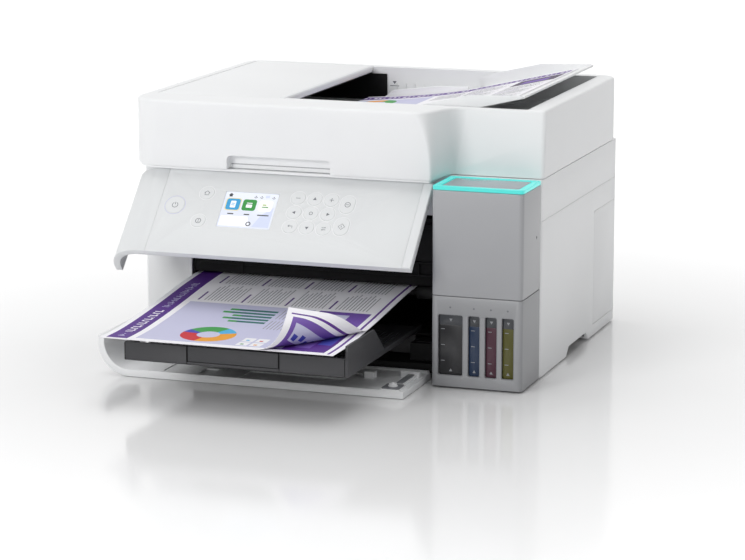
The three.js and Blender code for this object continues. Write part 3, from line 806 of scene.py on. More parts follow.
def key_outline(x, z, half_width, half_height, gap, steps):
    """Outline round a key, a gap outside it, with nearly half-round ends."""
    wide, tall = half_width + gap, half_height + gap
    return rounded(x - wide, x + wide, z - tall, z + tall, min(wide, tall) - 0.02, steps)


def key_cap(name, x, z, half_width, half_height, soft):
    """A key with a rounded rim and a shallow dish, and the sign on it in the second finish."""
    outline = key_outline(x, z, half_width, half_height, 0.28, 12)
    front = FACE - KEY_PROUD
    rise = [(FACE + 2.6, 0.0), (front + soft, 0.0)]
    for i in range(1, 5):
        a = math.pi / 2 * i / 4
        rise.append((front + soft * (1 - math.sin(a)), soft * (1 - math.cos(a))))
    loops = [[on_panel(u, v, w) for u, v in shrink(outline, inward)] for w, inward in rise]
    for scale, sink in ((0.7, 0.06), (0.3, 0.12)):
        dish = [(x + (u - x) * scale, z + (v - z) * scale) for u, v in outline]
        loops.append([on_panel(u, v, front + sink) for u, v in dish])
    cap = Shape(loft(loops))
    strokes, solids = glyph(name, x, z)
    for line, closed in strokes:
        cap.add(*ribbon(line, 0.5, SIGN_FRONT, SIGN_BACK, on_panel, closed), 1)
    for outline in solids:
        cap.add(*prism(outline, SIGN_FRONT, SIGN_BACK, on_panel), 1)
    return cap


def panel():
    piece = copy_of("control_panel", "panel_shell", panel_shaded_white())
    grooves = Shape()
    for x in (37.8, 276.1):
        outline = rectangle(x - GROOVE / 2, x + GROOVE / 2, -90, 20)
        grooves.add(*prism(outline, FACE - 2, FACE + 0.35, on_panel))
    carve(piece, grooves)
    soften(piece, 0.45 * MM, angle=40)
    place_piece(piece, "panel", "white_shell", "control_panel")
    strip = Shape(pad(rectangle(277.6, 284.2, -80.6, 7.4), FACE - 0.4, FACE + 0.4, on_panel, 0.3, 3))
    build("panel_end_strip", strip, panel_shaded_white(), "panel", "white_shell")

    # Painted shade: the key caps' white is darkened for the shade on the downward-tilted panel.
    caps = finish(
        "key_shaded_white", colours().keys, roughness=0.35, spread=0.04, grain=1800, bump=0.03, mottle=0.01)
    signs = finish("key_signs", colours().glyphs, 0.5)
    soft = sizes().key_edge / MM
    outlines = Shape()
    for name, (x, down, half_width, half_height) in KEYS.items():
        z = FACE_TOP - down
        cap = key_cap(name, x, z, half_width, half_height, soft)
        build(name + "_cap", cap, [caps, signs], name, "keys", name, angle=40)
        if name == "key_power":
            halo = Shape(ribbon(disc(x, z, 9.6, 48), 0.5, FACE - 0.05, FACE + 0.3, on_panel, True))
        else:
            line = key_outline(x, z, half_width, half_height, 0.9, 10)
            outlines.add(*ribbon(line, 0.35, FACE - 0.04, FACE + 0.3, on_panel, True))
    build("power_halo", halo, finish("halo_lilac", paint(206, 206, 232), 0.4), "panel", "white_shell")
    build("key_rims", outlines, finish("rim_white", paint(250, 250, 252), 0.3), "panel", "white_shell")


def icon_finishes():
    return [
        glow("icon_blue", paint(40, 158, 214), 0.7), glow("icon_green", paint(20, 150, 50), 0.6),
        glow("icon_white", paint(250, 250, 246), 0.75), glow("icon_paper", paint(246, 248, 255), 0.8),
        glow("icon_sky", paint(214, 222, 246), 0.7), glow("icon_frame", paint(232, 216, 150), 0.75),
        glow("icon_text", paint(70, 72, 82), 0.15), glow("icon_leaf", paint(150, 190, 60), 0.6),
    ]


BLUE_ICON, GREEN_ICON, WHITE_ICON, PAPER_ICON, SKY_ICON, FRAME_ICON, TEXT_ICON, LEAF_ICON = range(8)


def screen():
    """The lit screen, with three tiles, a line under each, and small signs along its top."""
    left, right, top, low = 97.5, 147.2, FACE_TOP - 23.3, FACE_TOP - 60.7
    pane = Shape(pad(rounded(left, right, low, top, 1.2), FACE + 0.2, FACE + 2.3, on_panel, 0.25, 3))
    lit = glow("screen_light", paint(232, 237, 250), 0.72, 0.12)
    build("screen_pane", pane, lit, "panel", "screen", "display")

    art = Shape()
    front, back = FACE + 0.12, FACE + 0.22

    def tile(u0, u1, v0, v1, r, number, lift=0.0):
        art.add(*prism(rounded(u0, u1, v0, v1, r, 6), front - lift, back, on_panel), number)

    floor = low + 1.4
    hill = [(left + 1.4, floor), (128, floor), (124, low + 12), (left + 1.4, low + 12)]
    slope = [(130, floor), (right - 1.2, floor), (right - 1.2, top - 14), (136, low + 14)]
    for outline, number in ((hill, PAPER_ICON), (slope, SKY_ICON)):
        art.add(*prism(outline, front + 0.04, back, on_panel), number)
    z = FACE_TOP - 36.5
    tiles = ((107.1, BLUE_ICON, 2.9), (122.4, GREEN_ICON, 2.6), (137.8, WHITE_ICON, 5.4))
    tile(99.9, 114.3, z - 6.6, z + 6.6, 2.6, FRAME_ICON)
    for x, number, _ in tiles:
        tile(x - 6.4, x + 6.4, z - 5.9, z + 5.9, 2.2, number, 0.03)
    tile(104.6, 109.6, z - 3.6, z + 3.6, 0.8, PAPER_ICON, 0.06)
    tile(105.6, 108.6, z - 1.2, z - 0.5, 0.2, BLUE_ICON, 0.09)
    tile(105.6, 108.6, z + 0.6, z + 1.3, 0.2, BLUE_ICON, 0.09)
    tile(119.6, 125.2, z - 2.8, z + 0.6, 0.6, PAPER_ICON, 0.06)
    tile(119.8, 125, z + 1.6, z + 2.4, 0.3, PAPER_ICON, 0.06)
    tile(134.6, 140.6, z - 1.9, z - 1, 0.4, GREEN_ICON, 0.06)
    tile(134.9, 138.3, z + 0.4, z + 1.4, 0.4, LEAF_ICON, 0.06)
    for x, _, half in tiles:
        tile(x - half, x + half, z - 10.6, z - 9.5, 0.4, TEXT_ICON)
    y = top - 3.4
    house = [(100.6, y), (102.8, y + 2), (105, y), (104.2, y), (104.2, y - 1.8), (101.4, y - 1.8),
             (101.4, y)]
    art.add(*prism(house, front, back, on_panel), TEXT_ICON)
    for x in (126.5, 132, 143.4):
        bow = arc_line(x, y - 0.4, 1.4, 200, 340, 8)
        art.add(*ribbon(bow, 0.5, front, back, on_panel), TEXT_ICON)
        art.add(*prism(disc(x, y - 0.2, 0.5, 10), front, back, on_panel), TEXT_ICON)
    tile(135.6, 139.4, y - 1.4, y + 1.2, 0.4, SKY_ICON)
    ring = disc(126.4, low + 4.4, 1.9, 24)
    art.add(*ribbon(ring, 0.9, front - 0.02, back, on_panel, True), TEXT_ICON)
    build("screen_icons", art, icon_finishes(), "panel", "screen")


# ---------------------------------------------------------------- front cover and trays

COVER_EDGE = -71.4
COVER_FLOOR = 6.3
LATCH_X, LATCH_Y = 272, -62
TRAY_FRONT = -145
TRAY_RIB_SIZE = (1, 160, 1.1)


def front_cover():
    shell("front_cover", "drop_cover", white(), "front_cover", "white_shell", 0.6 * MM)
    ribs = row("cover_ribs", (64, -12, 6.9), (31, 0, 0), (1.4, 14, 1.8), 6, white())
    place_piece(ribs, "front_cover", "white_shell")
    plate = Shape(
        pad(rounded(264, 280, -71, -53, 2.5, 6), 8.0, 8.9, facing_up, 0.3, 3),
        pad(rounded(271.5, 277.5, -52, -19, 1, 4), 8.8, 9.8, facing_up, 0.3, 3),
    )
    grey = finish("latch_grey", paint(120, 122, 126), roughness=0.4, spread=0.06)
    build("latch_plate", plate, grey, "front_cover", "tank_grey")
    pin = Shape(
        pad(disc(LATCH_X, LATCH_Y, 3.6, 28), 8.8, 11.4, facing_up, 0.6),
        pad(disc(LATCH_X, LATCH_Y, 1.4, 20), 11.3, 12.2, facing_up, 0.3),
    )
    build("latch_pin", pin, white(), "front_cover", "white_shell")
    walls = Shape(
        ribbon([(284.1, COVER_EDGE), (40, COVER_EDGE)], 0.7, COVER_FLOOR, 7.1, facing_up),
        ribbon([(60, -20), (230, -20)], 1.0, COVER_FLOOR, 7.3, facing_up),
        ribbon([(60, -20), (60, -66)], 1.0, COVER_FLOOR, 7.3, facing_up),
    )
    build("cover_walls", walls, white(), "front_cover", "white_shell", edge=0.2, steps=1)


def trays():
    grey = tray_grey()
    width = sizes().tray_edge
    shell("output_tray", "tray", grey, "output_tray", "tray_grey", width)
    shell("tray_extension", "tray_slide", grey, "tray_extension", "tray_grey", width)
    seams = Shape()
    for x in (58.6, 115.5, 199.3, 257.6):
        seams.add(*block(x, x + 0.6, 34.6, 49.4, TRAY_FRONT - 0.2, TRAY_FRONT + 0.2))
    build("tray_seams", seams, inner_black(), "output_tray", "tray_grey", angle=None)
    shell("paper_cassette", "cassette", grey, "paper_cassette", "tray_grey", width)
    for name, left in (("tray_ribs", 64), ("tray_ribs_right", 206)):
        ribs = row(name, (left, -60, 37.1), (6.4, 0, 0), TRAY_RIB_SIZE, 8, grey)
        place_piece(ribs, "output_tray", "tray_grey")


# ---------------------------------------------------------------- ink tank unit

TANK_FRONT = -20
WINDOW_FOOT, WINDOW_TOP = 11.8, 65.3
RESERVOIR_FRONT, RESERVOIR_BACK, RESERVOIR_FOOT, RESERVOIR_TOP = -16.6, 31, 5.4, 69.9
INK_LEVEL = 55
CAP_Y = 8
TANK_TOP = 177

# Left and right side of each window, radius of its filler cap and colour of its ink.
INKS = {
    "black": (298.7, 320.9, 7.5, (46, 46, 48)), "cyan": (325.9, 336.2, 5, (34, 50, 76)),
    "magenta": (341.1, 351.6, 5, (72, 38, 52)), "yellow": (356.2, 366.8, 5, (80, 78, 28)),
}


def reservoir(left, right, cap):
    """A reservoir behind its window: ink in the first finish, the empty part over it in the second, and
    the level marks in the third."""
    middle = (left + right) / 2
    outline = rounded(left - 1.4, right + 1.4, RESERVOIR_FRONT, RESERVOIR_BACK, 1.5, 4)
    body = Shape()
    body.add(*pad(outline, RESERVOIR_FOOT, INK_LEVEL, facing_up, 0.5, 2), 0)
    body.add(*pad(outline, INK_LEVEL, RESERVOIR_TOP, facing_up, 0.5, 2), 1)
    body.add(*pad(disc(middle, CAP_Y, cap - 1, 24), RESERVOIR_TOP - 0.9, 74, facing_up, 0.3, 2), 1)
    pane, mark = RESERVOIR_FRONT - 1.2, RESERVOIR_FRONT - 1.35
    for foot, top, number in ((12.2, INK_LEVEL + 1, 0), (INK_LEVEL + 1.02, 64.9, 1)):
        outline = rounded(left + 0.4, right - 0.4, foot, top, 1.1, 4)
        body.add(*pad(outline, pane, RESERVOIR_FRONT + 0.1, facing_front, 0.2, 2), number)
    side = left + 2.2
    for z in (24, 38, 52):
        body.add(*block(side, side + min(3.4, right - left - 6), z, z + 0.5, mark, pane + 0.1), 2)
    up = [(middle - 1.4, 15), (middle + 1.4, 15), (middle, 17.4)]
    down = [(middle - 1.4, 61.6), (middle, 59.2), (middle + 1.4, 61.6)]
    for sign in (up, down):
        body.add(*prism(sign, mark, pane + 0.1, facing_front), 2)
    return body


def stopper(middle, radius):
    grip = rounded(middle - radius * 0.8, middle + radius * 0.8, CAP_Y - 1, CAP_Y + 1, 0.9, 5)
    return Shape(
        pad(disc(middle, CAP_Y, radius, 36), 74.3, 83, facing_up, 0.8),
        pad(grip, 82.6, 86, facing_up, 0.5),
    )


def tank():
    grey = tank_grey()
    width = sizes().shell_edge
    darker = [c * 0.86 for c in colours().tank]
    lower_grey = finish("tank_lower_grey", darker, roughness=0.36, bump=0.04, mottle=0.015)
    shell("tank_case", "tank_lower", lower_grey, "base", "tank_grey", width)
    window_grey = finish(
        "window_grey", paint(66, 68, 72), roughness=0.25, spread=0.03, grain=900, bump=0.02, mottle=0.05,
        specular_ior_level=0.3)
    marks = finish("window_marks", paint(150, 152, 156), 0.5)
    rims, dots = Shape(), Shape()
    for name, (left, right, cap, tint) in INKS.items():
        slot = "ink_" + name
        full = finish(
            slot, paint(*tint), roughness=0.25, spread=0.03, grain=900, bump=0.02, mottle=0.06,
            specular_ior_level=0.3)
        finishes = [full, window_grey, marks]
        body = reservoir(left, right, cap)
        build("reservoir_" + name, body, finishes, "base", slot, "ink_reservoir_" + name)
        middle = (left + right) / 2
        cap_finish = finish("cap_" + name, paint(*tint), 0.35)
        cap_node = "tank_cap_" + name
        build("stopper_" + name, stopper(middle, cap), cap_finish, cap_node, slot, cap_node)
        line = shrink(rounded(left, right, WINDOW_FOOT, WINDOW_TOP, 1.5, 4), -0.35)
        rims.add(*ribbon(line, 0.6, TANK_FRONT - 0.05, TANK_FRONT + 0.7, facing_front, True))
        dots.add(*prism(disc(middle, 72, 0.9, 16), TANK_FRONT - 0.05, TANK_FRONT + 0.5, facing_front))
    bezel = finish("bezel_grey", paint(120, 122, 126), 0.35)
    build("window_rims", rims, bezel, "base", "tank_grey", edge=0.15, steps=1)
    dot_grey = finish("dot_grey", paint(112, 114, 118), 0.5)
    build("window_dots", dots, dot_grey, "base", "tank_grey", angle=None)

    shell("tank_cover", "tank_upper", grey, "tank_cover", "tank_grey", 1.0 * MM, steps=3)
    # Painted shade: a dark disc and slot laid on the side of the tank cover stand in for the shade inside
    # the latch notch, which is not cut.
    low, high = SIDE_WALL - 0.7, SIDE_WALL - 0.35
    notch = Shape(
        prism(disc(23, 129.8, 1.1, 20), low, high, facing_side),
        prism(rectangle(22.4, 23.6, 128.2, 129.8), low, high, facing_side),
    )
    build("tank_latch_notch_shade", notch, inner_black(), "tank_cover", "tank_grey", angle=None)
    outline = rounded(299.2, 367.5, -13.3, 28.8, 2.6, 6)
    plate = Shape(pad(outline, TANK_TOP - 0.8, TANK_TOP, facing_up, 0.4, 3))
    plate_grey = finish("plate_grey", paint(150, 156, 162), 0.25, coat_weight=0.3)
    build("tank_top_plate", plate, plate_grey, "tank_cover", "tank_grey")
    lens = glow("ring_lit", colours().ring, 0.6, 0.25)
    shell("tank_light_ring", "ring_lens", lens, "tank_cover", "ring_light", 0.9 * MM, steps=3)


# ---------------------------------------------------------------- sheets of paper

A4_WIDTH, PAGE_LENGTH = 210, 296
PAGE_LEFT = 47.4
PAGE_TIP = -172.0
PAGE_PATH = [(-172, 58.2), (-140, 58), (-100, 60.5), (-50, 65), (0, 70.5), (46, 74.1), (124, 74.1)]
UPPER_GAP, LOWER_GAP = 0.32, 0.05
SHEET_STEP = 6

# The front right corner of the upper sheet curls up past a line that runs across the corner.
CURL_FROM, CURL_TO, CURL_RADIUS = (142.0, 0.0), (210.0, 88.0), 12.0
CURL_ANGLE = math.radians(165)
CURL_STEP = 1.5

# Print lies on its sheet, and print over print a little higher.
PRINT_LOW, PRINT_HIGH, PRINT_LAYER = 0.13, 0.16, 0.03
TEXT_PITCH, HEADING_PITCH = 3.15, 13

RAMP_ANGLE = math.radians(13)
RAMP_LEFT, RAMP_FRONT, RAMP_FOOT = 136, 55, 197.58
RAMP_SHEET_LENGTH, RAMP_SHEET_ARCH = 113, 12
DOCUMENT_STEP = 8


def page_height(y):
    """Height of the sheet's underside, eased round the bends of its path."""

    def straight(v):
        v = min(PAGE_PATH[-1][0] - 0.1, max(PAGE_PATH[0][0] + 0.1, v))
        for (y0, z0), (y1, z1) in zip(PAGE_PATH, PAGE_PATH[1:]):
            if v <= y1:
                return z0 + (z1 - z0) * (v - y0) / (y1 - y0)

    return sum(straight(y + k * 4) for k in range(-4, 5)) / 9


def printed(u, v, lift, curled):
    """A point of the sheet in the output tray: u across it from its left edge, v back from its tip."""
    du, dv = CURL_TO[0] - CURL_FROM[0], CURL_TO[1] - CURL_FROM[1]
    long = math.hypot(du, dv)
    away = (dv / long, -du / long)
    past = (u - CURL_FROM[0]) * away[0] + (v - CURL_FROM[1]) * away[1]
    if curled and past > 0:
        bend = min(past / CURL_RADIUS, CURL_ANGLE)
        straight = past - bend * CURL_RADIUS
        out = (CURL_RADIUS - lift) * math.sin(bend) + straight * math.cos(bend)
        u, v = u + away[0] * (out - past), v + away[1] * (out - past)
        rise = CURL_RADIUS * (1 - math.cos(bend)) + lift * math.cos(bend) + straight * math.sin(bend)
    else:
        rise = lift
    return at(PAGE_LEFT + u, PAGE_TIP + v, page_height(PAGE_TIP + v) + rise)


def upper(u, v, lift):
    return printed(u, v, UPPER_GAP + lift, True)


def lower(u, v, lift):
    return printed(u, v, LOWER_GAP + lift, False)


def on_ramp(u, v, lift):
    """A point of the sheet on the ramp: u across it from its front edge, v up from its lower end, which
    stands off the ramp where the sheet goes into the feeder."""
    arch = RAMP_SHEET_ARCH * max(0, 1 - v / RAMP_SHEET_LENGTH) ** 1.5
    along, out = (math.cos(RAMP_ANGLE), math.sin(RAMP_ANGLE)), lift + 0.1
    rise = v * along[1] + out * along[0] + arch
    return at(RAMP_LEFT + v * along[0] - lift * along[1], RAMP_FRONT + u, RAMP_FOOT + rise)


def on_flap(u, v, lift):
    """A point of the sheet on the flap: u across it from its front edge, v out from its hinge."""
    low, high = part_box("document_page")
    run, rise = high.x - low.x, high.z - low.z - 0.5 * MM
    long = math.hypot(run, rise)
    along = Vector((run / long, 0, rise / long))
    out = Vector((-rise / long, 0, run / long))
    corner = Vector((low.x, low.y, low.z))
    return corner + along * v * MM + Vector((0, u * MM, 0)) + out * lift * MM


def lattice(start, end, step):
    """Start and end, with the whole steps between them."""
    inside = range(math.floor(start / step) + 1, math.ceil(end / step))
    return [start, *[k * step for k in inside if min(k * step - start, end - k * step) > 0.05], end]


def sheet_grid(u0, u1, v0, v1, place, low, high, step):
    """Closed thin patch that follows a sheet."""
    across, along = lattice(u0, u1, step), lattice(v0, v1, step)
    nu, nv = len(across) - 1, len(along) - 1
    points = [place(u, v, lift) for lift in (low, high) for v in along for u in across]
    w, layer = nu + 1, (nu + 1) * (nv + 1)
    faces = []
    for j in range(nv):
        for i in range(nu):
            a = j * w + i
            faces.append((a, a + w, a + w + 1, a + 1))
            faces.append((layer + a, layer + a + 1, layer + a + w + 1, layer + a + w))
    for i in range(nu):
        a, b = i, nv * w + i
        faces += [(a, a + 1, layer + a + 1, layer + a), (b, layer + b, layer + b + 1, b + 1)]
    for j in range(nv):
        a, b = j * w, j * w + nu
        faces += [(a, layer + a, layer + a + w, a + w), (b, b + w, layer + b + w, layer + b)]
    return points, faces


def ring_sector(u, v, inner, outer, start, end, place, low, high):
    """Part of a ring on a sheet, between two angles in degrees."""
    steps = max(2, round((end - start) / 6))
    points, faces = [], []
    for lift in (low, high):
        for i in range(steps + 1):
            a = math.radians(start + (end - start) * i / steps)
            for r in (inner, (inner + outer) / 2, outer):
                points.append(place(u + r * math.cos(a), v + r * math.sin(a), lift))
    layer = 3 * (steps + 1)
    for i in range(steps):
        for k in (0, 1):
            a = 3 * i + k
            faces += [(a, a + 3, a + 4, a + 1), (layer + a, layer + a + 1, layer + a + 4, layer + a + 3)]
        faces += [(3 * i, layer + 3 * i, layer + 3 * i + 3, 3 * i + 3),
                  (3 * i + 2, 3 * i + 5, layer + 3 * i + 5, layer + 3 * i + 2)]
    for i in (0, 3 * steps):
        faces += [(i, i + 1, layer + i + 1, layer + i), (i + 1, i + 2, layer + i + 2, layer + i + 1)]
    return points, faces


PURPLE, LILAC, RULE, DARK, LINES, RED, BLUE, GREEN, SKY, ORANGE, PLAIN, VIOLET, TEAL = range(13)


def print_finishes():
    return [
        ink("purple", colours().purple), ink("lilac", colours().lilac),
        ink("rule", paint(92, 44, 140)), ink("dark", paint(52, 38, 66)),
        ink("lines", paint(150, 150, 156)), ink("red", paint(196, 32, 42)),
        ink("blue", paint(62, 68, 168)), ink("green", paint(58, 150, 72)),
        ink("sky", paint(78, 176, 222)), ink("orange", paint(232, 158, 42)),
        ink("plain", paint(240, 240, 244)), ink("violet", paint(110, 78, 164)),
        ink("teal", paint(38, 104, 98)),
    ]


def band_marks(patch, low, high, start):
    """Generic signs of a title along the band: a bold run of bars and a light run of bars."""
    middle = (low + high) / 2
    for k in range(5):
        patch(middle - 3 + k, middle + 3 - k, start + k * 2, start + k * 2 + 1.1, LILAC, 1)
    v = start + 16
    for k in range(12):
        wide = (1.9, 4.6, 3.2, 5.2)[k % 4]
        if k % 2:
            patch(low, high, v, v + 1.8, PLAIN, 1)
            patch(high - 1.8, high, v + 1.8, v + wide, PLAIN, 1)
        else:
            patch(low, high, v, v + wide * 0.5, PLAIN, 1)
            patch(low, low + 1.6, v + wide * 0.5, v + wide, PLAIN, 1)
        v += wide + 2.2
    v += 8
    for k in range(17):
        wide = (1.0, 3.4, 2.2, 3.8, 1.6)[k % 5]
        drop = (k % 2) * 2
        patch(low + (k % 3) * 0.8, high - 0.6, v, v + 0.9, LILAC, 1)
        patch(high - 1.4 - drop, high - 0.6 - drop, v + 0.9, v + wide, LILAC, 1)
        v += wide + 2.0


def text_line(patch, k, u, v0, v1, full, short):
    """Line k of a column of text, over a share of the column: full for a plain line and short for a
    heading, which has a gap on each side of it."""
    place = k % HEADING_PITCH
    if place == 0:
        patch(u, u + 1.7, v0, v0 + (v1 - v0) * short, PURPLE)
    elif place not in (1, HEADING_PITCH - 1):
        patch(u, u + 0.85, v0, v0 + (v1 - v0) * full, LINES)


def page_art(place):
    """Generic report page: a title band, a chart panel, a picture and columns of text lines."""
    art = Shape()

    def patch(u0, u1, v0, v1, number, layer=0):
        step = CURL_STEP if u1 > CURL_FROM[0] and v0 < CURL_TO[1] else SHEET_STEP
        high = PRINT_HIGH + layer * PRINT_LAYER
        art.add(*sheet_grid(u0, u1, v0, v1, place, PRINT_LOW, high, step), number)

    patch(5, 24, 4, 293, PURPLE)
    patch(30, 148, 8, 128, LILAC)
    patch(152, 199, 8, 128, VIOLET)
    patch(203, 205.2, 4, 293, RULE)
    patch(30, 76, 236, 290, DARK)
    patch(44, 70, 246, 276, VIOLET, 1)
    band_marks(patch, 11.5, 18.5, 12)
    wedges = [(24, 62, SKY), (62, 150, GREEN), (150, 172, BLUE), (172, 262, RED), (262, 384, ORANGE)]
    for start, end, number in wedges:
        art.add(*ring_sector(84, 38, 10, 24, start, end, place, PRINT_HIGH, 0.22), number)
    for k, tall in enumerate((34, 42, 36, 48, 44)):
        v = 80 + k * 8
        patch(118 - tall, 118, v, v + 4.5, TEAL, 1)
        patch(118 - tall, 126 - tall, v, v + 4.5, GREEN, 2)
    for k, number in enumerate((GREEN, ORANGE, SKY, RED)):
        u, v = 122 + 12 * (k % 2), 14 + 14 * (k // 2)
        patch(u - 3, u + 7, v - 3, v + 9, PLAIN, 1)
        patch(u, u + 3, v, v + 3, number, 2)
    patch(152, 170, 14, 60, PURPLE, 1)
    patch(176, 190, 30, 96, PURPLE, 1)
    patch(160, 182, 78, 120, LILAC, 1)
    for column, (v0, v1) in enumerate(((134, 180), (184, 230), (234, 286))):
        for k in range(52):
            u = 34 + k * TEXT_PITCH
            if column < 2 or u >= 80:
                text_line(patch, k, u, v0, v1, 0.98 - 0.07 * ((k * 7 + column * 3) % 4), 0.5)
    for k in range(12):
        u = 122 + (k % 6) * 3.2
        v0, v1 = (66, 90) if k < 6 else (96, 122)
        patch(u, u + 0.8, v0, v1, LINES, 1)
    return art


def sheets():
    """The printed sheet with its curled corner, and the sheet below it."""
    thick = sizes().sheet / MM
    for name, place, step, nodes in (
            ("upper_sheet", upper, CURL_STEP, ["printed_page"]), ("lower_sheet", lower, SHEET_STEP, [])):
        stack = Shape(sheet_grid(0, A4_WIDTH, 0, PAGE_LENGTH, place, 0, thick, step))
        build(name, stack, paper(), "printed_page", "paper", *nodes, angle=60)
    art = page_art(upper)

    def reverse(u0, u1, v0, v1, number, layer=0):
        low = -0.06 - layer * PRINT_LAYER
        art.add(*sheet_grid(u0, u1, v0, v1, upper, low, -0.03, CURL_STEP), number)

    reverse(146, 194, 6, 88, VIOLET)
    reverse(198.5, 201, 4, 92, RULE)
    reverse(168, 186, 10, 60, LILAC, 1)
    for k in range(5):
        u = 170 + 3 * (k % 2)
        reverse(u, u + 6, 12 + k * 8, 17 + k * 8, BLUE, 2)
    build("upper_print", art, print_finishes(), "printed_page", "paper", angle=60)
    under = Shape()
    for u0, u1, v0, v1, number, layer in (
            (130, 199, 8, 92, PURPLE, 0), (168, 182, 20, 60, VIOLET, 1), (146, 160, 12, 40, LILAC, 1),
            (203, 205.2, 4, 110, RULE, 0), (184, 196, 34, 70, BLUE, 1)):
        patch = sheet_grid(u0, u1, v0, v1, lower, PRINT_LOW, 0.15 + layer * 0.02, SHEET_STEP)
        under.add(*patch, number)
    build("lower_print", under, print_finishes(), "printed_page", "paper", angle=60)


def document_print(patch, wide, long):
    """Generic print of the document, on whichever half of it."""
    patch(wide - 24, wide - 5, 0, long, PURPLE)
    patch(5, 8, 0, long, RULE)
    for k in range(int(long / 5)):
        v, reach = 1 + k * 5, (2.6, 1.4, 3.4)[k % 3]
        patch(wide - 18, wide - 11.5, v, v + reach, PLAIN, 1)


def ramp_sheet():
    """The half of the document that lies on the ramp."""
    wide, long = A4_WIDTH, RAMP_SHEET_LENGTH
    stack = Shape(sheet_grid(0, wide, 0, long, on_ramp, 0.0, 0.2, 10))
    build("ramp_sheet", stack, paper(), "lid", "paper", angle=None)
    art = Shape()

    def patch(u0, u1, v0, v1, number, layer=0):
        high = 0.24 + layer * PRINT_LAYER
        art.add(*sheet_grid(u0, u1, v0, v1, on_ramp, 0.21, high, DOCUMENT_STEP), number)

    document_print(patch, wide, long)
    patch(wide - 150, wide - 30, 0, 78, LILAC)
    for start, end, number in ((20, 130, GREEN), (130, 230, RED), (230, 380, ORANGE)):
        art.add(*ring_sector(wide - 52, 26, 9, 20, start, end, on_ramp, 0.24, 0.28), number)
    for k in range(5):
        patch(wide - 92 - k * 8, wide - 87.5 - k * 8, 30, 64 - (k * 5) % 14, TEAL, 1)
    for k in range(11):
        u = wide - 34 - k * TEXT_PITCH
        patch(u, u + 1, 84, long, LINES)
    for k in range(24):
        patch(12 + k * 1.9, 12.9 + k * 1.9, 4, long - (k * 7) % 12, LINES)
    build("ramp_print", art, print_finishes(), "lid", "paper", angle=None)


def flap():
    """The document flap, and the half of the document that lies on it."""
    shell("document_flap", "flap_shell", white(), "flap", "white_shell", 0.7 * MM)
    low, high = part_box("document_page")
    long = math.hypot(high.x - low.x, high.z - low.z) / MM - 0.3
    wide = (high.y - low.y) / MM
    stack = Shape(sheet_grid(0, wide, 0, long, on_flap, 0.02, 0.26, SHEET_STEP))
    build("flap_sheet", stack, paper(), "flap", "paper", "document_page", angle=60)
    art = Shape()

    def patch(u0, u1, v0, v1, number, layer=0):
        high = 0.3 + layer * PRINT_LAYER
        art.add(*sheet_grid(u0, u1, v0, v1, on_flap, 0.27, high, DOCUMENT_STEP), number)

    document_print(patch, wide, long - 4)
    patch(wide - 74, wide - 30, 52, long - 4, DARK)
    patch(wide - 66, wide - 44, 60, long - 14, VIOLET, 1)
    for v0, v1, clear in ((4, 46, 28), (52, long - 6, 78)):
        for k in range(58):
            u = 10 + k * TEXT_PITCH
            if u < wide - clear:
                text_line(patch, k, u, v0, v1, 1 - 0.07 * ((k * 7) % 4), 0.55)
    build("flap_print", art, print_finishes(), "flap", "paper", angle=None)
    ramp_sheet()


# ---------------------------------------------------------------- camera, floor and lights

# In metres and degrees, from the middle of the printer's foot.
CAMERA_PLACE = (0.8368, -2.3528, 0.5800)
CAMERA_DOWN, CAMERA_TURN = 11.56, 19.195
LENS, SENSOR = 135.6, 36
FLOOR_REACH = 9
# Painted light: the floor glows by itself, from nothing at FLOOR_FADE_START to FLOOR_GLOW at
# FLOOR_FADE_END metres from its middle.
FLOOR_FADE_START, FLOOR_FADE_END, FLOOR_GLOW = 0.26, 0.8, 0.34
KEY_LIGHT, TOP_LIGHT = (-1.1, -2.6, 1.2), (-0.2, 0.3, 2.6)
KEY_POWER, TOP_POWER = 29, 32
SEEN_WHITE, LIT_WHITE = 1.0, 0.42


def camera():
    data = bpy.data.cameras.new("camera")
    data.lens = LENS
    data.sensor_width = SENSOR
    data.clip_end = 50
    view = bpy.data.objects.new("camera", data)
    bpy.context.scene.collection.objects.link(view)
    view.location = CAMERA_PLACE
    view.rotation_euler = (math.radians(90 - CAMERA_DOWN), 0, math.radians(CAMERA_TURN))
    bpy.context.scene.camera = view


def light(name, place, target, size, power):
    data = bpy.data.lights.new(name, "AREA")
    data.shape = "RECTANGLE"
    data.size, data.size_y = size
    data.energy = power
    lamp = bpy.data.objects.new(name, data)
    lamp.location = place
    lamp.rotation_euler = (Vector(target) - Vector(place)).to_track_quat("-Z", "Y").to_euler()
    bpy.context.scene.collection.objects.link(lamp)


def floor_painted_glow():
    """Glossy white floor with painted light: it glows by itself more the further it lies from the
    printer, so it stays darker near the printer.
    """
    material = finish(
        "floor_painted_glow", (0.88, 0.88, 0.882), roughness=0.12, spread=0.01, grain=3, bump=0.0, mottle=0.002,
        emission_color=(1, 1, 1, 1))
    tree = material.node_tree
    nodes, links = tree.nodes, tree.links
    place = nodes.new("ShaderNodeTexCoord")
    away = nodes.new("ShaderNodeVectorMath")
    fade = nodes.new("ShaderNodeMapRange")
    away.operation = "LENGTH"
    fade.inputs["From Min"].default_value = FLOOR_FADE_START
    fade.inputs["From Max"].default_value = FLOOR_FADE_END
    fade.inputs["To Max"].default_value = FLOOR_GLOW
    links.new(place.outputs["Object"], away.inputs[0])
    links.new(away.outputs["Value"], fade.inputs["Value"])
    # Painted light: the floor's own glow grows with its distance from the middle.
    links.new(fade.outputs["Result"], nodes["Principled BSDF"].inputs["Emission Strength"])
    return material


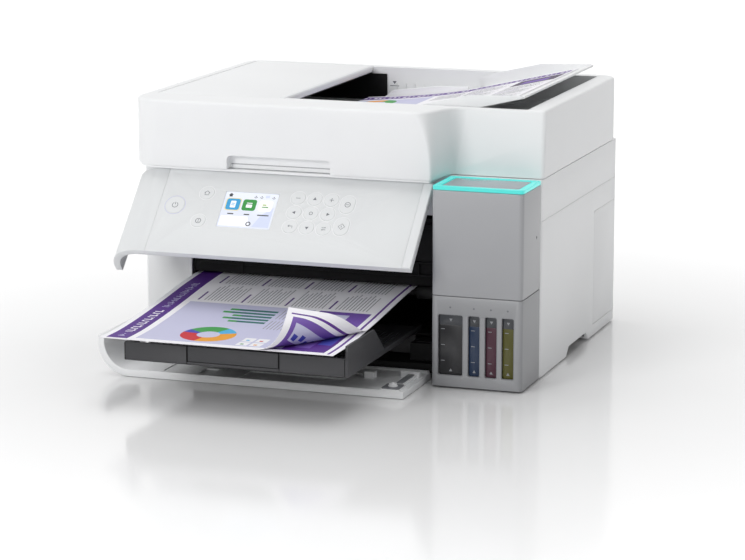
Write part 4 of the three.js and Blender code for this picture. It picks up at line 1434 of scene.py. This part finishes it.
def studio():
    """White background, which is weaker as light on the printer than where it is seen or mirrored."""
    world = bpy.data.worlds.new("studio")
    world.use_nodes = True
    nodes, links = world.node_tree.nodes, world.node_tree.links
    background = nodes["Background"]
    background.inputs["Color"].default_value = (1, 1, 1, 1)
    ray, strength = nodes.new("ShaderNodeLightPath"), nodes.new("ShaderNodeMapRange")
    strength.inputs["To Min"].default_value = SEEN_WHITE
    strength.inputs["To Max"].default_value = LIT_WHITE
    links.new(ray.outputs["Is Diffuse Ray"], strength.inputs["Value"])
    links.new(strength.outputs["Result"], background.inputs["Strength"])
    bpy.context.scene.world = world


def stage():
    mesh = bpy.data.meshes.new("floor")
    corners = [(x * FLOOR_REACH, y * FLOOR_REACH, 0) for x, y in rectangle(-1, 1, -1, 1)]
    mesh.from_pydata(corners, [], [(0, 1, 2, 3)])
    mesh.materials.append(floor_painted_glow())
    new_object("floor", mesh)
    light("key", KEY_LIGHT, (0, 0, 0.12), (1.2, 1.0), KEY_POWER)
    light("top", TOP_LIGHT, (0, 0.05, 0.2), (2.4, 2.4), TOP_POWER)
    studio()
    bpy.context.scene.view_settings.view_transform = "Standard"


# ---------------------------------------------------------------- operators and panel


class PrinterOperator(bpy.types.Operator):
    bl_options = {"REGISTER", "UNDO"}


class PRINTER_OT_camera(PrinterOperator):
    """Adds the camera"""
    bl_idname = "printer.camera"
    bl_label = "Camera"

    def execute(self, context):
        camera()
        return {"FINISHED"}


class PRINTER_OT_base(PrinterOperator):
    """Builds the shell of the base, its side cover and its feet"""
    bl_idname = "printer.base"
    bl_label = "Base"

    def execute(self, context):
        base()
        return {"FINISHED"}


class PRINTER_OT_mechanism(PrinterOperator):
    """Builds the black inner frame, the fascia and the parts inside"""
    bl_idname = "printer.mechanism"
    bl_label = "Mechanism"

    def execute(self, context):
        mechanism()
        return {"FINISHED"}


class PRINTER_OT_rear(PrinterOperator):
    """Builds the duplex cover and the power socket"""
    bl_idname = "printer.rear"
    bl_label = "Rear Cover"

    def execute(self, context):
        rear()
        return {"FINISHED"}


class PRINTER_OT_scanner(PrinterOperator):
    """Builds the flatbed scanner"""
    bl_idname = "printer.scanner"
    bl_label = "Scanner"

    def execute(self, context):
        scanner()
        return {"FINISHED"}


class PRINTER_OT_lid(PrinterOperator):
    """Builds the lid with its recess and finger notch"""
    bl_idname = "printer.lid"
    bl_label = "Lid"

    def execute(self, context):
        lid()
        return {"FINISHED"}


class PRINTER_OT_feeder(PrinterOperator):
    """Builds the feed cover, the ramp and the edge guides"""
    bl_idname = "printer.feeder"
    bl_label = "Document Feeder"

    def execute(self, context):
        feeder()
        return {"FINISHED"}


class PRINTER_OT_flap(PrinterOperator):
    """Builds the document flap and the sheet on it"""
    bl_idname = "printer.flap"
    bl_label = "Document Flap"

    def execute(self, context):
        flap()
        return {"FINISHED"}


class PRINTER_OT_panel(PrinterOperator):
    """Builds the control panel and its keys"""
    bl_idname = "printer.panel"
    bl_label = "Control Panel"

    def execute(self, context):
        panel()
        return {"FINISHED"}


class PRINTER_OT_screen(PrinterOperator):
    """Builds the screen and what it shows"""
    bl_idname = "printer.screen"
    bl_label = "Screen"

    def execute(self, context):
        screen()
        return {"FINISHED"}


class PRINTER_OT_cover(PrinterOperator):
    """Builds the front cover with its ribs and latch"""
    bl_idname = "printer.cover"
    bl_label = "Front Cover"

    def execute(self, context):
        front_cover()
        return {"FINISHED"}


class PRINTER_OT_trays(PrinterOperator):
    """Builds the output tray, its extension and the cassette"""
    bl_idname = "printer.trays"
    bl_label = "Trays"

    def execute(self, context):
        trays()
        return {"FINISHED"}


class PRINTER_OT_sheets(PrinterOperator):
    """Builds the printed sheets in the output tray"""
    bl_idname = "printer.sheets"
    bl_label = "Printed Sheets"

    def execute(self, context):
        sheets()
        return {"FINISHED"}


class PRINTER_OT_tank(PrinterOperator):
    """Builds the ink tank unit with its windows, caps and light"""
    bl_idname = "printer.tank"
    bl_label = "Ink Tank"

    def execute(self, context):
        tank()
        return {"FINISHED"}


class PRINTER_OT_stage(PrinterOperator):
    """Adds the floor, the lights and the background"""
    bl_idname = "printer.stage"
    bl_label = "Stage"

    def execute(self, context):
        stage()
        return {"FINISHED"}


OPERATORS = (
    PRINTER_OT_camera, PRINTER_OT_base, PRINTER_OT_mechanism, PRINTER_OT_rear, PRINTER_OT_scanner,
    PRINTER_OT_lid, PRINTER_OT_feeder, PRINTER_OT_flap, PRINTER_OT_panel, PRINTER_OT_screen,
    PRINTER_OT_cover, PRINTER_OT_trays, PRINTER_OT_sheets, PRINTER_OT_tank, PRINTER_OT_stage,
)


class PRINTER_PT_sidebar(bpy.types.Panel):
    bl_label = "Inkjet Printer"
    bl_idname = "PRINTER_PT_sidebar"
    bl_space_type = "VIEW_3D"
    bl_region_type = "UI"
    bl_category = "Printer"

    def draw(self, context):
        layout = self.layout
        for group in (context.scene.printer_colours, context.scene.printer_sizes):
            box = layout.box()
            for name in group.bl_rna.properties.keys():
                if name not in ("rna_type", "name"):
                    box.prop(group, name)
        for operator in OPERATORS:
            layout.operator(operator.bl_idname)


CLASSES = (PrinterColours, PrinterSizes, *OPERATORS, PRINTER_PT_sidebar)


def register():
    for item in CLASSES:
        bpy.utils.register_class(item)
    bpy.types.Scene.printer_colours = bpy.props.PointerProperty(type=PrinterColours)
    bpy.types.Scene.printer_sizes = bpy.props.PointerProperty(type=PrinterSizes)


def unregister():
    del bpy.types.Scene.printer_colours
    del bpy.types.Scene.printer_sizes
    for item in reversed(CLASSES):
        bpy.utils.unregister_class(item)


def main():
    register()
    for operator in OPERATORS:
        group, name = operator.bl_idname.split(".")
        getattr(getattr(bpy.ops, group), name)()


if __name__ == "__main__":
    main()
